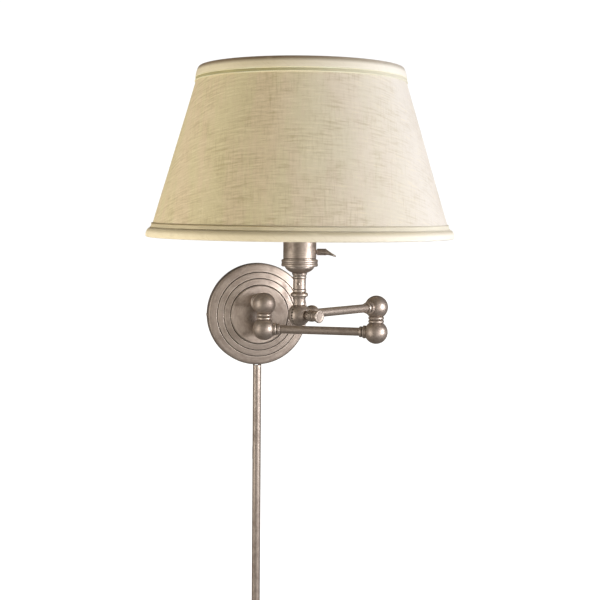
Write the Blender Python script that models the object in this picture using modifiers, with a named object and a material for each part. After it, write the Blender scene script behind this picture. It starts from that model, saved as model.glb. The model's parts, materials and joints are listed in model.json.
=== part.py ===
"""Swing arm wall sconce: wall plate, two hinged arms, toothed tilt knuckle, turn-key socket and shade.

World frame: the wall is the plane y = 0, the lamp stands out of it along -Y, and +Z is up.
The origin is the middle of the mounting strap's back face. Lengths are written in millimetres and
turned into metres where a shape is made.
"""

import math

import bmesh
import bpy
from mathutils import Matrix, Vector

MM = 0.001
ROUND_STEPS = 32
SMALL_STEPS = 20
SHADE_STEPS = 48
HIDDEN_STEPS = 12
MERGE = 0.00001

# Driving dimensions, in millimetres and degrees.
GAP = 0.3
PLATE_RADIUS = 57.2
PLATE_WALL = 1.2
CORD_HOLE_DEPTH = 4.4
PIVOT_DEPTH = 38.0
ARM_LENGTH = 124.0
LOWER_ARM_ANGLE = -27.0
ELBOW_ANGLE = 239.5
BALL_RADIUS = 12.6
BALL_RISE = 13.6
BALL_FLAT_RADIUS = 8.0
KNUCKLE_RADIUS = 11.3
TUBE_RADIUS = 4.5
TUBE_BORE = 3.5
SOCKET_BORE = 4.8
WIREWAY = 2.2
STEM_RADIUS = 3.6
STEM_BORE = 2.2
STEM_HOLE = 3.9
NIPPLE_RADIUS = 4.8
NIPPLE_HOLE = 5.1
COVER_RADIUS = 4.75
COVER_BORE = 4.05
COVER_DEPTH = 5.35
COVER_LENGTH = 381.0
COVER_SLOT = 4.4
TOOTH_COUNT = 22
SHADE_BASE = 77.0
SHADE_HEIGHT = 165.0
SHADE_BASE_RADIUS = 148.8
SHADE_TOP_RADIUS = 98.7
CLOTH_THICKNESS = 1.0
TOP_ROLL_HEIGHT = 10.3
BOTTOM_ROLL_HEIGHT = 9.0
TOP_TAPE_HEIGHT = 3.2
BOTTOM_TAPE_HEIGHT = 3.8
GLASS_THICKNESS = 1.0
KEY_HEIGHT = 62.8
KEY_TURN = 37.5

SHADE_SLOPE = (SHADE_BASE_RADIUS - SHADE_TOP_RADIUS) / SHADE_HEIGHT
SHADE_TOP = SHADE_BASE + SHADE_HEIGHT
BALL_FLAT = math.sqrt(BALL_RADIUS ** 2 - BALL_FLAT_RADIUS ** 2)
NECK_HALF = BALL_RISE - BALL_FLAT
TUBE_END = 7.5
COVER_TOP = -(PLATE_RADIUS + 2 * GAP)

MATERIALS = {
    "antique_nickel": ((0.36, 0.30, 0.25), 1.0, 0.36),
    "zinc_steel": ((0.55, 0.55, 0.53), 1.0, 0.40),
    "brass": ((0.70, 0.50, 0.22), 1.0, 0.30),
    "black_rubber": ((0.03, 0.03, 0.03), 0.0, 0.75),
    "phenolic": ((0.06, 0.05, 0.045), 0.0, 0.50),
    "insulating_card": ((0.45, 0.33, 0.20), 0.0, 0.90),
    "linen": ((0.72, 0.64, 0.47), 0.0, 0.95),
    "trim_tape": ((0.62, 0.54, 0.32), 0.0, 0.90),
    "white_wire": ((0.80, 0.79, 0.75), 0.0, 0.45),
    "soft_white_glass": ((0.90, 0.89, 0.85), 0.0, 0.25),
}


# Scene, materials and placing


def clear_scene():
    for obj in list(bpy.data.objects):
        bpy.data.objects.remove(obj, do_unlink=True)


def new_collection(name):
    collection = bpy.data.collections.new(name)
    bpy.context.scene.collection.children.link(collection)
    return collection


def finish_material(name):
    found = bpy.data.materials.get(name)
    if found:
        return found
    colour, metallic, roughness = MATERIALS[name]
    material = bpy.data.materials.new(name)
    material.use_nodes = True
    shader = material.node_tree.nodes["Principled BSDF"]
    shader.inputs["Base Color"].default_value = (*colour, 1.0)
    shader.inputs["Metallic"].default_value = metallic
    shader.inputs["Roughness"].default_value = roughness
    return material


def moved(x, y, z):
    return Matrix.Translation(Vector((x, y, z)) * MM)


def turned_about_z(degrees):
    return Matrix.Rotation(math.radians(degrees), 4, "Z")


def facing(frame, origin, direction):
    """A frame at origin of the given frame, whose Z axis runs along direction."""
    turn = Vector(direction).to_track_quat("Z", "Y").to_matrix().to_4x4()
    return frame @ moved(*origin) @ turn


class Workshop:
    """Holds the collections and the empty that new pieces are parented to."""

    def __init__(self):
        self.parts = new_collection("swing_arm_wall_sconce")
        self.cutters = new_collection("cutters")
        self.pivot = None

    def set_pivot(self, name, frame):
        empty = bpy.data.objects.new(name, None)
        empty.matrix_world = frame
        self.parts.objects.link(empty)
        self.pivot = empty

    def add(self, name, mesh, frame, material):
        obj = bpy.data.objects.new(name, mesh)
        self.parts.objects.link(obj)
        obj.data.materials.append(finish_material(material))
        if self.pivot:
            obj.parent = self.pivot
            obj.matrix_parent_inverse = self.pivot.matrix_world.inverted()
        obj.matrix_basis = frame
        return obj

    def add_cutter(self, name, mesh, frame):
        obj = bpy.data.objects.new(name, mesh)
        self.cutters.objects.link(obj)
        obj.matrix_basis = frame
        obj.display_type = "WIRE"
        obj.hide_render = True
        return obj


# Shapes


def arc(radius, start, end, count):
    """Points (r, z) on a circle about the origin; angles in degrees up from the r axis."""
    points = []
    for step in range(count + 1):
        angle = math.radians(start + (end - start) * step / count)
        points.append((radius * math.cos(angle), radius * math.sin(angle)))
    return points


def seat(radius, inner, outer, count=2):
    """Points of a cupped face that follows a ball of the given radius about the origin."""
    points = []
    for step in range(count + 1):
        r = inner + (outer - inner) * step / count
        points.append((r, math.sqrt(radius ** 2 - r ** 2)))
    return points


def profile_mesh(name, profile, closed):
    vertices = [(r * MM, 0.0, z * MM) for r, z in profile]
    edges = [(i, i + 1) for i in range(len(profile) - 1)]
    if closed:
        edges.append((len(profile) - 1, 0))
    mesh = bpy.data.meshes.new(name)
    mesh.from_pydata(vertices, edges, [])
    return mesh


def screw(obj, steps):
    turn = obj.modifiers.new("Turn", "SCREW")
    turn.axis = "Z"
    turn.angle = math.tau
    turn.steps = steps
    turn.render_steps = steps
    turn.use_merge_vertices = True
    turn.merge_threshold = MERGE
    turn.use_smooth_shade = True


def turned(shop, name, profile, frame, material, steps=SMALL_STEPS, closed=False):
    """A turned piece. The profile runs down the outer side; a ring's profile is closed."""
    obj = shop.add(name, profile_mesh(name, profile, closed), frame, material)
    screw(obj, steps)
    return obj


def ring(shop, name, inner, outer, low, high, frame, material, steps=SMALL_STEPS):
    profile = [(inner, high), (outer, high), (outer, low), (inner, low)]
    return turned(shop, name, profile, frame, material, steps, closed=True)


def bead(inner, edge, bulge, low, high, count=4):
    """A closed ring profile whose outer side bulges from edge to bulge and back."""
    middle = (low + high) / 2
    half = (high - low) / 2
    points = [(inner, high)]
    for step in range(count + 1):
        angle = math.pi / 2 - math.pi * step / count
        points.append((edge + (bulge - edge) * math.cos(angle), middle + half * math.sin(angle)))
    points.append((inner, low))
    return points


def box_mesh(name, size):
    mesh = bpy.data.meshes.new(name)
    work = bmesh.new()
    bmesh.ops.create_cube(work, size=1.0)
    bmesh.ops.scale(work, vec=Vector(size) * MM, verts=work.verts)
    work.to_mesh(mesh)
    work.free()
    return mesh


def prism_mesh(name, radius, length, sides):
    """A prism or rod about Z that starts at the origin."""
    mesh = bpy.data.meshes.new(name)
    work = bmesh.new()
    bmesh.ops.create_cone(
        work,
        cap_ends=True,
        segments=sides,
        radius1=radius * MM,
        radius2=radius * MM,
        depth=length * MM,
    )
    bmesh.ops.translate(work, vec=(0.0, 0.0, length * MM / 2), verts=work.verts)
    work.to_mesh(mesh)
    work.free()
    return mesh


def half_rod_mesh(name, radius, length, offset, sides=SMALL_STEPS):
    """A rod about Z whose part below x = offset is cut away."""
    mesh = prism_mesh(name, radius, length, sides)
    work = bmesh.new()
    work.from_mesh(mesh)
    plane = {"plane_co": (offset * MM, 0.0, 0.0), "plane_no": (-1.0, 0.0, 0.0)}
    geometry = work.verts[:] + work.edges[:] + work.faces[:]
    cut = bmesh.ops.bisect_plane(work, geom=geometry, clear_outer=True, **plane)
    rim = [item for item in cut["geom_cut"] if isinstance(item, bmesh.types.BMEdge)]
    bmesh.ops.edgeloop_fill(work, edges=rim)
    bmesh.ops.recalc_face_normals(work, faces=work.faces)
    work.to_mesh(mesh)
    work.free()
    return mesh


def outline_mesh(name, points, thickness, frame):
    """A flat plate of the given outline, centred on its plane, as a closed mesh."""
    curve = bpy.data.curves.new(name, "CURVE")
    curve.dimensions = "2D"
    curve.fill_mode = "BOTH"
    curve.extrude = thickness * MM / 2
    spline = curve.splines.new("POLY")
    spline.points.add(len(points) - 1)
    for point, (x, y) in zip(spline.points, points):
        point.co = (x * MM, y * MM, 0.0, 1.0)
    spline.use_cyclic_u = True
    return curve_to_mesh(name, curve, frame)


def wire_mesh(name, points, radius, frame):
    """A round wire with closed ends through the given points."""
    curve = bpy.data.curves.new(name, "CURVE")
    curve.dimensions = "3D"
    curve.bevel_depth = radius * MM
    curve.bevel_resolution = 1
    curve.use_fill_caps = True
    spline = curve.splines.new("POLY")
    spline.points.add(len(points) - 1)
    for point, place in zip(spline.points, points):
        point.co = (*(Vector(place) * MM), 1.0)
    return curve_to_mesh(name, curve, frame)


def curve_to_mesh(name, curve, frame):
    guide = bpy.data.objects.new(name + "_guide", curve)
    bpy.context.scene.collection.objects.link(guide)
    guide.matrix_basis = frame
    bpy.context.view_layer.update()
    evaluated = guide.evaluated_get(bpy.context.evaluated_depsgraph_get())
    mesh = bpy.data.meshes.new_from_object(evaluated)
    mesh.name = name
    bpy.data.objects.remove(guide, do_unlink=True)
    work = bmesh.new()
    work.from_mesh(mesh)
    bmesh.ops.remove_doubles(work, verts=work.verts, dist=MERGE)
    bmesh.ops.recalc_face_normals(work, faces=work.faces)
    work.to_mesh(mesh)
    work.free()
    return mesh


# Cuts and joins


def combine(obj, other, operation):
    step = obj.modifiers.new(other.name, "BOOLEAN")
    step.operation = operation
    step.object = other


def bore(shop, obj, profile, frame, steps=SMALL_STEPS):
    """Cuts a stepped round hole; the profile is (radius, distance) pairs from its mouth inwards."""
    count = len(obj.modifiers)
    name = f"{obj.name}_cut_{count}"
    start = (0.0, -profile[0][1])
    end = (0.0, -profile[-1][1])
    outline = [start] + [(r, -depth) for r, depth in profile] + [end]
    cutter = shop.add_cutter(name, profile_mesh(name, outline, closed=False), frame)
    screw(cutter, steps)
    combine(obj, cutter, "DIFFERENCE")


def straight_hole(shop, obj, radius, depth, frame, steps=SMALL_STEPS, lead=1.0):
    bore(shop, obj, [(radius, -lead), (radius, depth)], frame, steps)


def cut_box(shop, obj, size, frame):
    name = f"{obj.name}_cut_{len(obj.modifiers)}"
    cutter = shop.add_cutter(name, box_mesh(name, size), frame)
    combine(obj, cutter, "DIFFERENCE")


def join_mesh(shop, obj, mesh, frame):
    other = shop.add_cutter(mesh.name, mesh, frame)
    combine(obj, other, "UNION")


# Wall group


def make_strap(shop):
    half_length = 55.3
    half_width = 6.0
    thickness = 2.0
    tab_depth = 8.2
    outline = [
        (-half_length, 0.0),
        (-half_length, -tab_depth),
        (-half_length + thickness, -tab_depth),
        (-half_length + thickness, -thickness),
        (half_length - thickness, -thickness),
        (half_length - thickness, -tab_depth),
        (half_length, -tab_depth),
        (half_length, 0.0),
    ]
    mesh = outline_mesh("wall_strap", outline, 2 * half_width, Matrix())
    strap = shop.add("wall_strap", mesh, Matrix(), "zinc_steel")
    for side in (-1, 1):
        slot = moved(side * 39.5, -thickness / 2, 0.0)
        cut_box(shop, strap, (10.0, 3 * thickness, 4.6), slot)
        tab = facing(Matrix(), (side * (half_length + 1), -4.6, 0.0), (side, 0.0, 0.0))
        straight_hole(shop, strap, 1.7, 6.0, tab)


def plate_profile():
    """The stepped plate, as (radius, distance from the wall): outer side down, inner side up."""
    rings = [(32.6, 17.2), (39.8, 15.2), (46.8, 13.3)]
    outer = [(0.0, 18.2), (rings[0][0] - 1.0, rings[0][1] + 0.5)]
    for radius, height in rings:
        outer += [
            (radius, height),
            (radius + 0.4, height - 1.2),
            (radius + 1.1, height - 0.9),
        ]
    outer += [(55.4, 10.9), (56.7, 10.2), (PLATE_RADIUS, 9.0), (PLATE_RADIUS, 0.0)]
    inner_radius = PLATE_RADIUS - PLATE_WALL
    inner = [
        (inner_radius, 0.0),
        (inner_radius, 8.7),
        (55.2, 9.6),
        (46.6, 11.0),
        (32.0, 15.6),
        (0.0, 16.9),
    ]
    return outer + inner


def make_backplate(shop, wall):
    plate = turned(shop, "backplate", plate_profile(), wall, "antique_nickel", 40)
    nipple_mouth = facing(wall, (0.0, BALL_RISE, 20.0), (0.0, 0.0, 1.0))
    straight_hole(shop, plate, NIPPLE_HOLE, 6.0, nipple_mouth)
    cord_mouth = facing(Matrix(), (0.0, -CORD_HOLE_DEPTH, -PLATE_RADIUS), (0.0, 0.0, -1.0))
    straight_hole(shop, plate, 3.4, 4.0, cord_mouth)
    for side in (-1, 1):
        mouth = facing(Matrix(), (side * PLATE_RADIUS, -4.6, 0.0), (side, 0.0, 0.0))
        straight_hole(shop, plate, 1.7, 4.0, mouth)


def make_rim_screws(shop):
    for name, side in (("rim_screw_left", -1), ("rim_screw_right", 1)):
        frame = facing(Matrix(), (side * PLATE_RADIUS, -4.6, 0.0), (side, 0.0, 0.0))
        profile = [(0.0, 0.9), (1.6, 0.9), (2.6, GAP), (1.4, GAP), (1.4, -5.0), (0.0, -5.0)]
        screw_body = turned(shop, name, profile, frame, "antique_nickel", HIDDEN_STEPS)
        cut_box(shop, screw_body, (6.0, 0.7, 1.0), frame @ moved(0.0, 0.0, 1.0))


def make_cord_grommet(shop):
    frame = moved(0.0, -CORD_HOLE_DEPTH, 0.0)
    low = -PLATE_RADIUS - 0.1
    wall_inside = -PLATE_RADIUS + PLATE_WALL + 0.6
    profile = [
        (2.3, wall_inside + 1.2),
        (3.9, wall_inside + 1.2),
        (3.9, wall_inside),
        (3.1, wall_inside),
        (3.1, low),
        (2.3, low),
    ]
    turned(shop, "cord_grommet", profile, frame, "black_rubber", HIDDEN_STEPS, closed=True)


def make_plate_nipple(shop, wall):
    frame = wall @ moved(0.0, BALL_RISE, 0.0)
    ring(shop, "plate_nipple", 3.2, NIPPLE_RADIUS, 9.0, 28.0, frame, "zinc_steel")
    nut_mesh = prism_mesh("nipple_nut", 8.0, 3.6, 6)
    nut = shop.add("nipple_nut", nut_mesh, frame @ moved(0.0, 0.0, 12.0), "zinc_steel")
    straight_hole(shop, nut, NIPPLE_HOLE, 5.0, frame @ moved(0.0, 0.0, 15.6))


def make_wall_stub_collar(shop, wall):
    frame = wall @ moved(0.0, BALL_RISE, PIVOT_DEPTH)
    cup = [(r, -z) for r, z in seat(BALL_RADIUS + GAP, NIPPLE_HOLE, 9.8, 4)]
    outer = [
        (11.3, -9.1),
        (11.3, -10.4),
        (10.4, -11.0),
        (10.1, -11.6),
        (10.4, -12.2),
        (10.4, -14.0),
        (9.4, -14.8),
        (9.0, -17.0),
        (9.6, -18.4),
        (10.8, -19.4),
        (10.8, -PIVOT_DEPTH + 18.5),
        (NIPPLE_HOLE, -PIVOT_DEPTH + 18.5),
    ]
    turned(shop, "wall_stub_collar", cup + outer, frame, "antique_nickel", closed=True)


# Ball knuckles and arms


def ball_profile():
    """A ball about the origin with a flat at its lower side."""
    flat_angle = -math.degrees(math.atan2(BALL_FLAT, BALL_FLAT_RADIUS))
    return arc(BALL_RADIUS, 90.0, flat_angle, 10) + [(0.0, -BALL_FLAT)]


def make_ball(shop, name, frame, side, arm_socket):
    """A hinge ball on the frame's axis; side is 1 above the hinge's middle and -1 below it."""
    outward = facing(frame, (0.0, 0.0, side * BALL_RISE), (0.0, 0.0, side))
    ball = turned(shop, name, ball_profile(), outward, "antique_nickel")
    hinge_mouth = facing(frame, (0.0, 0.0, 0.0), (0.0, 0.0, -side))
    if arm_socket["counterbore"]:
        hole = [(5.8, NECK_HALF - 1.0), (5.8, 9.4), (STEM_HOLE, 9.4), (STEM_HOLE, 15.4)]
    else:
        hole = [(STEM_HOLE, NECK_HALF - 1.0), (STEM_HOLE, 15.4)]
    bore(shop, ball, hole, hinge_mouth)
    arm_mouth = facing(frame, (0.0, 0.0, side * BALL_RISE), arm_socket["direction"])
    reach = arm_socket["reach"]
    radius = arm_socket["radius"]
    socket = [(radius, -14.0), (radius, -reach), (WIREWAY, -reach), (WIREWAY, -2.0)]
    bore(shop, ball, socket, arm_mouth)


def make_neck_ring(shop, name, frame, side):
    low = GAP / 2
    high = NECK_HALF - GAP
    profile = bead(STEM_HOLE, 7.2, 8.55, low, high)
    turned(shop, name, profile, facing(frame, (0, 0, 0), (0, 0, side)), "antique_nickel", closed=True)


def make_stem(shop, name, frame):
    ring(shop, name, STEM_BORE, STEM_RADIUS, -15.0, 15.0, frame, "zinc_steel", HIDDEN_STEPS)


def make_clip(shop, name, frame, side):
    """A retaining ring, open over a sixth of a turn, on the stem inside the turning ball."""
    low = 6.2
    place = facing(frame, (0.0, 0.0, 0.0), (0.0, 0.0, side))
    clip = ring(shop, name, STEM_RADIUS + 0.2, 5.4, low, low + 0.8, place, "zinc_steel", HIDDEN_STEPS)
    cut_box(shop, clip, (4.0, 3.0, 3.0), place @ moved(5.0, 0.0, low))


def make_tube(shop, name, frame, end):
    """An arm tube along the frame's X axis, from one ball socket to end."""
    along = facing(frame, (0.0, 0.0, 0.0), (1.0, 0.0, 0.0))
    ring(shop, name, TUBE_BORE, TUBE_RADIUS, TUBE_END, end, along, "antique_nickel")


def make_knuckle_collar(shop, name, frame):
    """The rounder collar at the tilt knuckle; the frame's Z runs away from the knuckle."""
    cup = seat(KNUCKLE_RADIUS + GAP, SOCKET_BORE, 6.6)
    outer = [
        (7.1, cup[-1][1] + 0.5),
        (6.9, 12.8),
        (7.4, 14.6),
        (8.2, 16.8),
        (8.5, 19.2),
        (8.1, 21.6),
        (6.9, 23.6),
        (5.6, 24.4),
        (5.8, 25.2),
        (5.3, 26.0),
        (SOCKET_BORE, 26.0),
    ]
    turned(shop, name, list(reversed(cup + outer)), frame, "antique_nickel", closed=True)


def make_collar(shop, name, frame):
    """The stepped collar where a tube meets a hinge ball; the frame's Z runs away from the ball."""
    cup = seat(BALL_RADIUS + GAP, SOCKET_BORE, 6.6)
    outer = [
        (7.0, cup[-1][1] + 0.4),
        (7.0, 13.9),
        (6.5, 14.4),
        (5.2, 14.7),
        (5.2, 15.2),
        (5.8, 15.5),
        (6.0, 16.8),
        (5.7, 18.0),
        (5.2, 18.3),
        (SOCKET_BORE, 18.3),
    ]
    profile = list(reversed(cup + outer))
    turned(shop, name, profile, frame, "antique_nickel", closed=True)


def make_lower_arm(shop, wall_hinge):
    arm = wall_hinge @ moved(0.0, 0.0, -BALL_RISE)
    elbow_end = facing(arm, (ARM_LENGTH, 0.0, 0.0), (-1.0, 0.0, 0.0))
    make_tube(shop, "lower_arm_tube", arm, ARM_LENGTH - TUBE_END)
    make_collar(shop, "lower_arm_wall_collar", facing(arm, (0, 0, 0), (1, 0, 0)))
    make_collar(shop, "lower_arm_elbow_collar", elbow_end)


def make_upper_arm(shop, elbow_hinge):
    arm = elbow_hinge @ moved(0.0, 0.0, BALL_RISE)
    knuckle_end = facing(arm, (ARM_LENGTH, 0.0, 0.0), (-1.0, 0.0, 0.0))
    make_tube(shop, "upper_arm_tube", arm, ARM_LENGTH - KNUCKLE_RADIUS - 0.6)
    make_collar(shop, "upper_arm_elbow_collar", facing(arm, (0, 0, 0), (1, 0, 0)))
    make_knuckle_collar(shop, "upper_arm_knuckle_collar", knuckle_end)


# Tilt knuckle and clamp knob. The head frame has X along the clamp screw, Y back along the upper arm.


def tooth_cutter(shop, name, head):
    """Small blocks round the seam: each one notches the rim of both halves."""
    work = bmesh.new()
    for tooth in range(TOOTH_COUNT):
        angle = math.tau * (tooth + 0.5) / TOOTH_COUNT
        turn = Matrix.Rotation(angle, 4, "X")
        place = turn @ moved(0.0, 0.0, KNUCKLE_RADIUS)
        size = Matrix.Diagonal((1.9 * MM, 1.5 * MM, 2.6 * MM, 1.0))
        bmesh.ops.create_cube(work, size=1.0, matrix=place @ size)
    mesh = bpy.data.meshes.new(name)
    work.to_mesh(mesh)
    work.free()
    return shop.add_cutter(name, mesh, head)


def make_knuckle_half(shop, name, head, side, profile_end):
    """Half a ball; side 1 is the clamp knob's side and -1 the far one."""
    frame = facing(head, (0.0, 0.0, 0.0), (side, 0.0, 0.0))
    pole_angle = math.degrees(math.acos(5.2 / KNUCKLE_RADIUS))
    seam_angle = math.degrees(math.asin(0.25 / KNUCKLE_RADIUS))
    shell = arc(KNUCKLE_RADIUS, pole_angle, seam_angle, 5)
    profile = profile_end["top"] + shell + profile_end["bottom"]
    half = turned(shop, name, profile, frame, "antique_nickel", closed=profile_end["open"])
    combine(half, tooth_cutter(shop, name + "_teeth", head), "DIFFERENCE")
    return half


def make_rear_half(shop, head):
    ends = {
        "top": [(0.0, KNUCKLE_RADIUS - 1.3)],
        "bottom": [(2.3, 0.25), (2.3, 8.4), (0.0, 8.4)],
        "open": False,
    }
    half = make_knuckle_half(shop, "knuckle_rear_half", head, -1, ends)
    towards_arm = head @ Matrix.Rotation(math.radians(90.0), 4, "Z")
    tongue_frame = facing(towards_arm, (8.6, 0.0, 0.0), (1.0, 0.0, 0.0))
    across = (head.to_3x3() @ Vector((-1.0, 0.0, 0.0))).normalized()
    join_half_rod(shop, half, 3.1, 8.2, tongue_frame, across)


def join_half_rod(shop, obj, radius, length, frame, keep):
    """Joins a D-shaped tongue that lies on the keep side of the seam."""
    axis = (frame.to_3x3() @ Vector((0.0, 0.0, 1.0))).normalized()
    side = axis.cross(keep)
    turn = Matrix((keep, side, axis)).transposed().to_4x4()
    place = Matrix.Translation(frame.translation) @ turn
    mesh = half_rod_mesh(obj.name + "_tongue", radius, length, 0.5)
    join_mesh(shop, obj, mesh, place)


def make_front_half(shop, head):
    ends = {
        "top": [(2.3, KNUCKLE_RADIUS - 1.3)],
        "bottom": [(2.3, 0.25)],
        "open": True,
    }
    half = make_knuckle_half(shop, "knuckle_front_half", head, 1, ends)
    tongue_frame = facing(head, (0.0, 0.0, 8.4), (0.0, 0.0, 1.0))
    across = (head.to_3x3() @ Vector((1.0, 0.0, 0.0))).normalized()
    join_half_rod(shop, half, 3.8, 8.0, tongue_frame, across)


def make_clamp(shop, head):
    axis = facing(head, (0.0, 0.0, 0.0), (1.0, 0.0, 0.0))
    knob = [
        (0.0, 27.6),
        (5.9, 27.6),
        (6.5, 27.1),
        (6.6, 26.2),
        (6.3, 25.2),
        (5.5, 23.2),
        (5.1, 21.2),
        (5.1, 19.6),
        (5.6, 18.8),
        (5.6, 14.0),
        (4.4, 13.3),
        (3.6, 10.4),
        (2.3, 10.4),
        (2.3, 20.0),
        (0.0, 20.0),
    ]
    turned(shop, "tilt_knob", knob, axis, "antique_nickel")
    rod = [(0.0, 19.6), (2.0, 19.6), (2.0, -7.6), (1.6, -8.0), (0.0, -8.0)]
    turned(shop, "tilt_screw", rod, axis, "zinc_steel", HIDDEN_STEPS)


# Neck and socket, turned about the head frame's Z axis


def make_neck(shop, head):
    inner = 4.3
    sleeve_seat = seat(KNUCKLE_RADIUS + GAP, inner, 6.2, 3)
    lower = [(inner, 17.5), (6.5, 17.5), (6.1, 15.8), (5.9, 13.2)] + list(reversed(sleeve_seat))[:-1]
    lower.append(sleeve_seat[0])
    turned(shop, "neck_lower_sleeve", lower, head, "antique_nickel", closed=True)
    collar = bead(inner, 6.6, 8.8, 17.8, 22.3)
    turned(shop, "neck_bead", collar, head, "antique_nickel", closed=True)
    upper = [(inner, 38.4), (6.4, 38.4), (6.35, 24.4), (6.6, 22.6), (inner, 22.6)]
    sleeve = turned(shop, "neck_upper_sleeve", upper, head, "antique_nickel", closed=True)
    screw_out = turned_about_z(-60.6)
    mouth = facing(head @ screw_out, (6.5, 0.0, 30.9), (1.0, 0.0, 0.0))
    straight_hole(shop, sleeve, 2.1, 3.4, mouth)
    grub = [(0.0, 0.6), (1.2, 0.6), (1.8, 0.1), (1.8, -1.8), (0.0, -1.8)]
    grub_screw = turned(shop, "neck_set_screw", grub, mouth, "antique_nickel", HIDDEN_STEPS)
    cut_box(shop, grub_screw, (4.0, 0.6, 0.8), mouth @ moved(0.0, 0.0, 0.6))
    ring(shop, "neck_nipple", 2.6, 4.0, 16.8, 46.5, head, "zinc_steel", HIDDEN_STEPS)


def make_socket_cup(shop, head):
    profile = [
        (14.6, 48.0),
        (14.4, 47.0),
        (13.4, 45.6),
        (11.4, 43.9),
        (8.6, 42.4),
        (7.2, 41.9),
        (7.4, 41.0),
        (7.2, 40.2),
        (6.6, 38.7),
        (4.3, 38.7),
        (4.3, 42.6),
        (8.0, 43.4),
        (10.8, 45.0),
        (12.6, 46.6),
        (13.4, 48.0),
    ]
    turned(shop, "socket_cup", profile, head, "antique_nickel", closed=True)
    band = [
        (17.3, 55.0),
        (17.8, 55.0),
        (18.2, 54.5),
        (18.2, 49.0),
        (17.6, 48.3),
        (12.0, 48.3),
        (12.0, 49.2),
        (17.3, 49.2),
    ]
    turned(shop, "socket_band", band, head, "antique_nickel", ROUND_STEPS, closed=True)


def key_frame(head):
    """The switch key's axis: Z runs out of the socket along the key."""
    return facing(head @ turned_about_z(KEY_TURN), (0.0, 0.0, KEY_HEIGHT), (1.0, 0.0, 0.0))


def make_socket_shell(shop, head):
    shell = [
        (15.9, 98.0),
        (16.4, 98.0),
        (17.0, 96.5),
        (17.0, 78.5),
        (19.6, 78.2),
        (19.6, 77.2),
        (16.4, 76.4),
        (16.4, 49.6),
        (15.9, 49.6),
    ]
    body = turned(shop, "socket_shell", shell, head, "antique_nickel", ROUND_STEPS, closed=True)
    key = key_frame(head)
    straight_hole(shop, body, 2.4, 5.0, key @ moved(0.0, 0.0, 18.0), 16)
    liner = ring(shop, "socket_liner", 15.0, 15.5, 50.0, 97.0, head, "insulating_card")
    straight_hole(shop, liner, 2.4, 5.0, key @ moved(0.0, 0.0, 18.0), 16)


def make_socket_core(shop, head):
    profile = [(0.0, 72.0), (14.6, 72.0), (14.6, 52.0), (0.0, 52.0)]
    core = turned(shop, "socket_core", profile, head, "phenolic")
    cut_box(shop, core, (12.0, 12.0, 20.0), head @ turned_about_z(KEY_TURN) @ moved(0.0, 0.0, 59.0))
    key = key_frame(head)
    straight_hole(shop, core, 2.4, 14.0, key @ moved(0.0, 0.0, 17.0), 16)
    tab = box_mesh("centre_contact", (9.0, 4.0, 0.6))
    shop.add("centre_contact", tab, head @ moved(0.0, 0.0, 72.7), "brass")


def make_screw_shell(shop, head):
    """The threaded brass cup; its thread is a row of round ridges."""
    outer = []
    inner = []
    ridges = 3
    top = 95.6
    pitch = 6.8
    for ridge in range(ridges):
        high = top - ridge * pitch
        outer += [(14.0, high), (14.5, high - pitch * 0.25), (14.0, high - pitch * 0.5)]
        inner += [(13.5, high), (14.0, high - pitch * 0.25), (13.5, high - pitch * 0.5)]
    bottom = top - ridges * pitch
    outer.append((14.0, bottom))
    inner.append((13.5, bottom))
    turned(shop, "screw_shell", outer + list(reversed(inner)), head, "brass", closed=True)


def make_bulb(shop, head):
    """The lamp bulb: a thin blown globe that is open at its neck, above a hollow screw cap."""
    globe = [
        (8.0, 180.9),
        (16.0, 177.3),
        (23.0, 171.0),
        (27.8, 162.6),
        (29.8, 152.6),
        (29.2, 142.5),
        (26.2, 132.6),
        (21.6, 123.6),
        (17.2, 115.0),
        (14.2, 106.5),
        (12.9, 99.4),
    ]
    outside = [(0.0, 182.0)] + globe
    inside = [(r - GLASS_THICKNESS, z) for r, z in reversed(globe)] + [(0.0, 182.0 - 2 * GLASS_THICKNESS)]
    turned(shop, "bulb_glass", outside + inside, head, "soft_white_glass", 24)
    cap = [(13.0, 99.0), (13.0, 96.6)]
    for ridge in range(3):
        high = 95.0 - ridge * 6.6
        cap += [(12.5, high), (13.1, high - 1.6), (12.5, high - 3.2)]
    cap += [(9.0, 75.0), (5.0, 74.0), (4.2, 73.4), (0.0, 73.4)]
    hollow = [(0.0, 75.2), (8.6, 76.4), (11.8, 79.5), (11.8, 99.0)]
    turned(shop, "bulb_cap", cap + hollow + cap[:1], head, "brass")


def make_key(shop, head):
    """The turn key: a shaft, a round barrel and a flat thumb blade that droops and tapers."""
    frame = key_frame(head)
    shaft = [
        (0.0, 27.2),
        (3.0, 27.0),
        (3.3, 26.4),
        (3.3, 17.4),
        (2.9, 17.0),
        (2.0, 17.0),
        (2.0, 7.4),
        (0.0, 7.4),
    ]
    key = turned(shop, "switch_key", shaft, frame, "antique_nickel")
    sections = [
        (25.4, 0.0, 2.6, 2.6),
        (27.6, -0.4, 3.6, 2.5),
        (30.0, -1.5, 4.6, 1.7),
        (32.6, -2.8, 4.8, 1.2),
        (34.6, -3.7, 3.8, 0.9),
        (35.8, -4.1, 1.8, 0.6),
    ]
    down = (frame.to_3x3().inverted() @ Vector((0.0, 0.0, 1.0))).normalized()
    across = down.cross(Vector((0.0, 0.0, 1.0)))
    join_mesh(shop, key, blade_mesh("switch_key_blade", sections, down, across), frame)
    cam = box_mesh("switch_cam", (7.0, 7.0, 5.0))
    shop.add("switch_cam", cam, frame @ moved(0.0, 0.0, 2.4), "phenolic")


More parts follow.
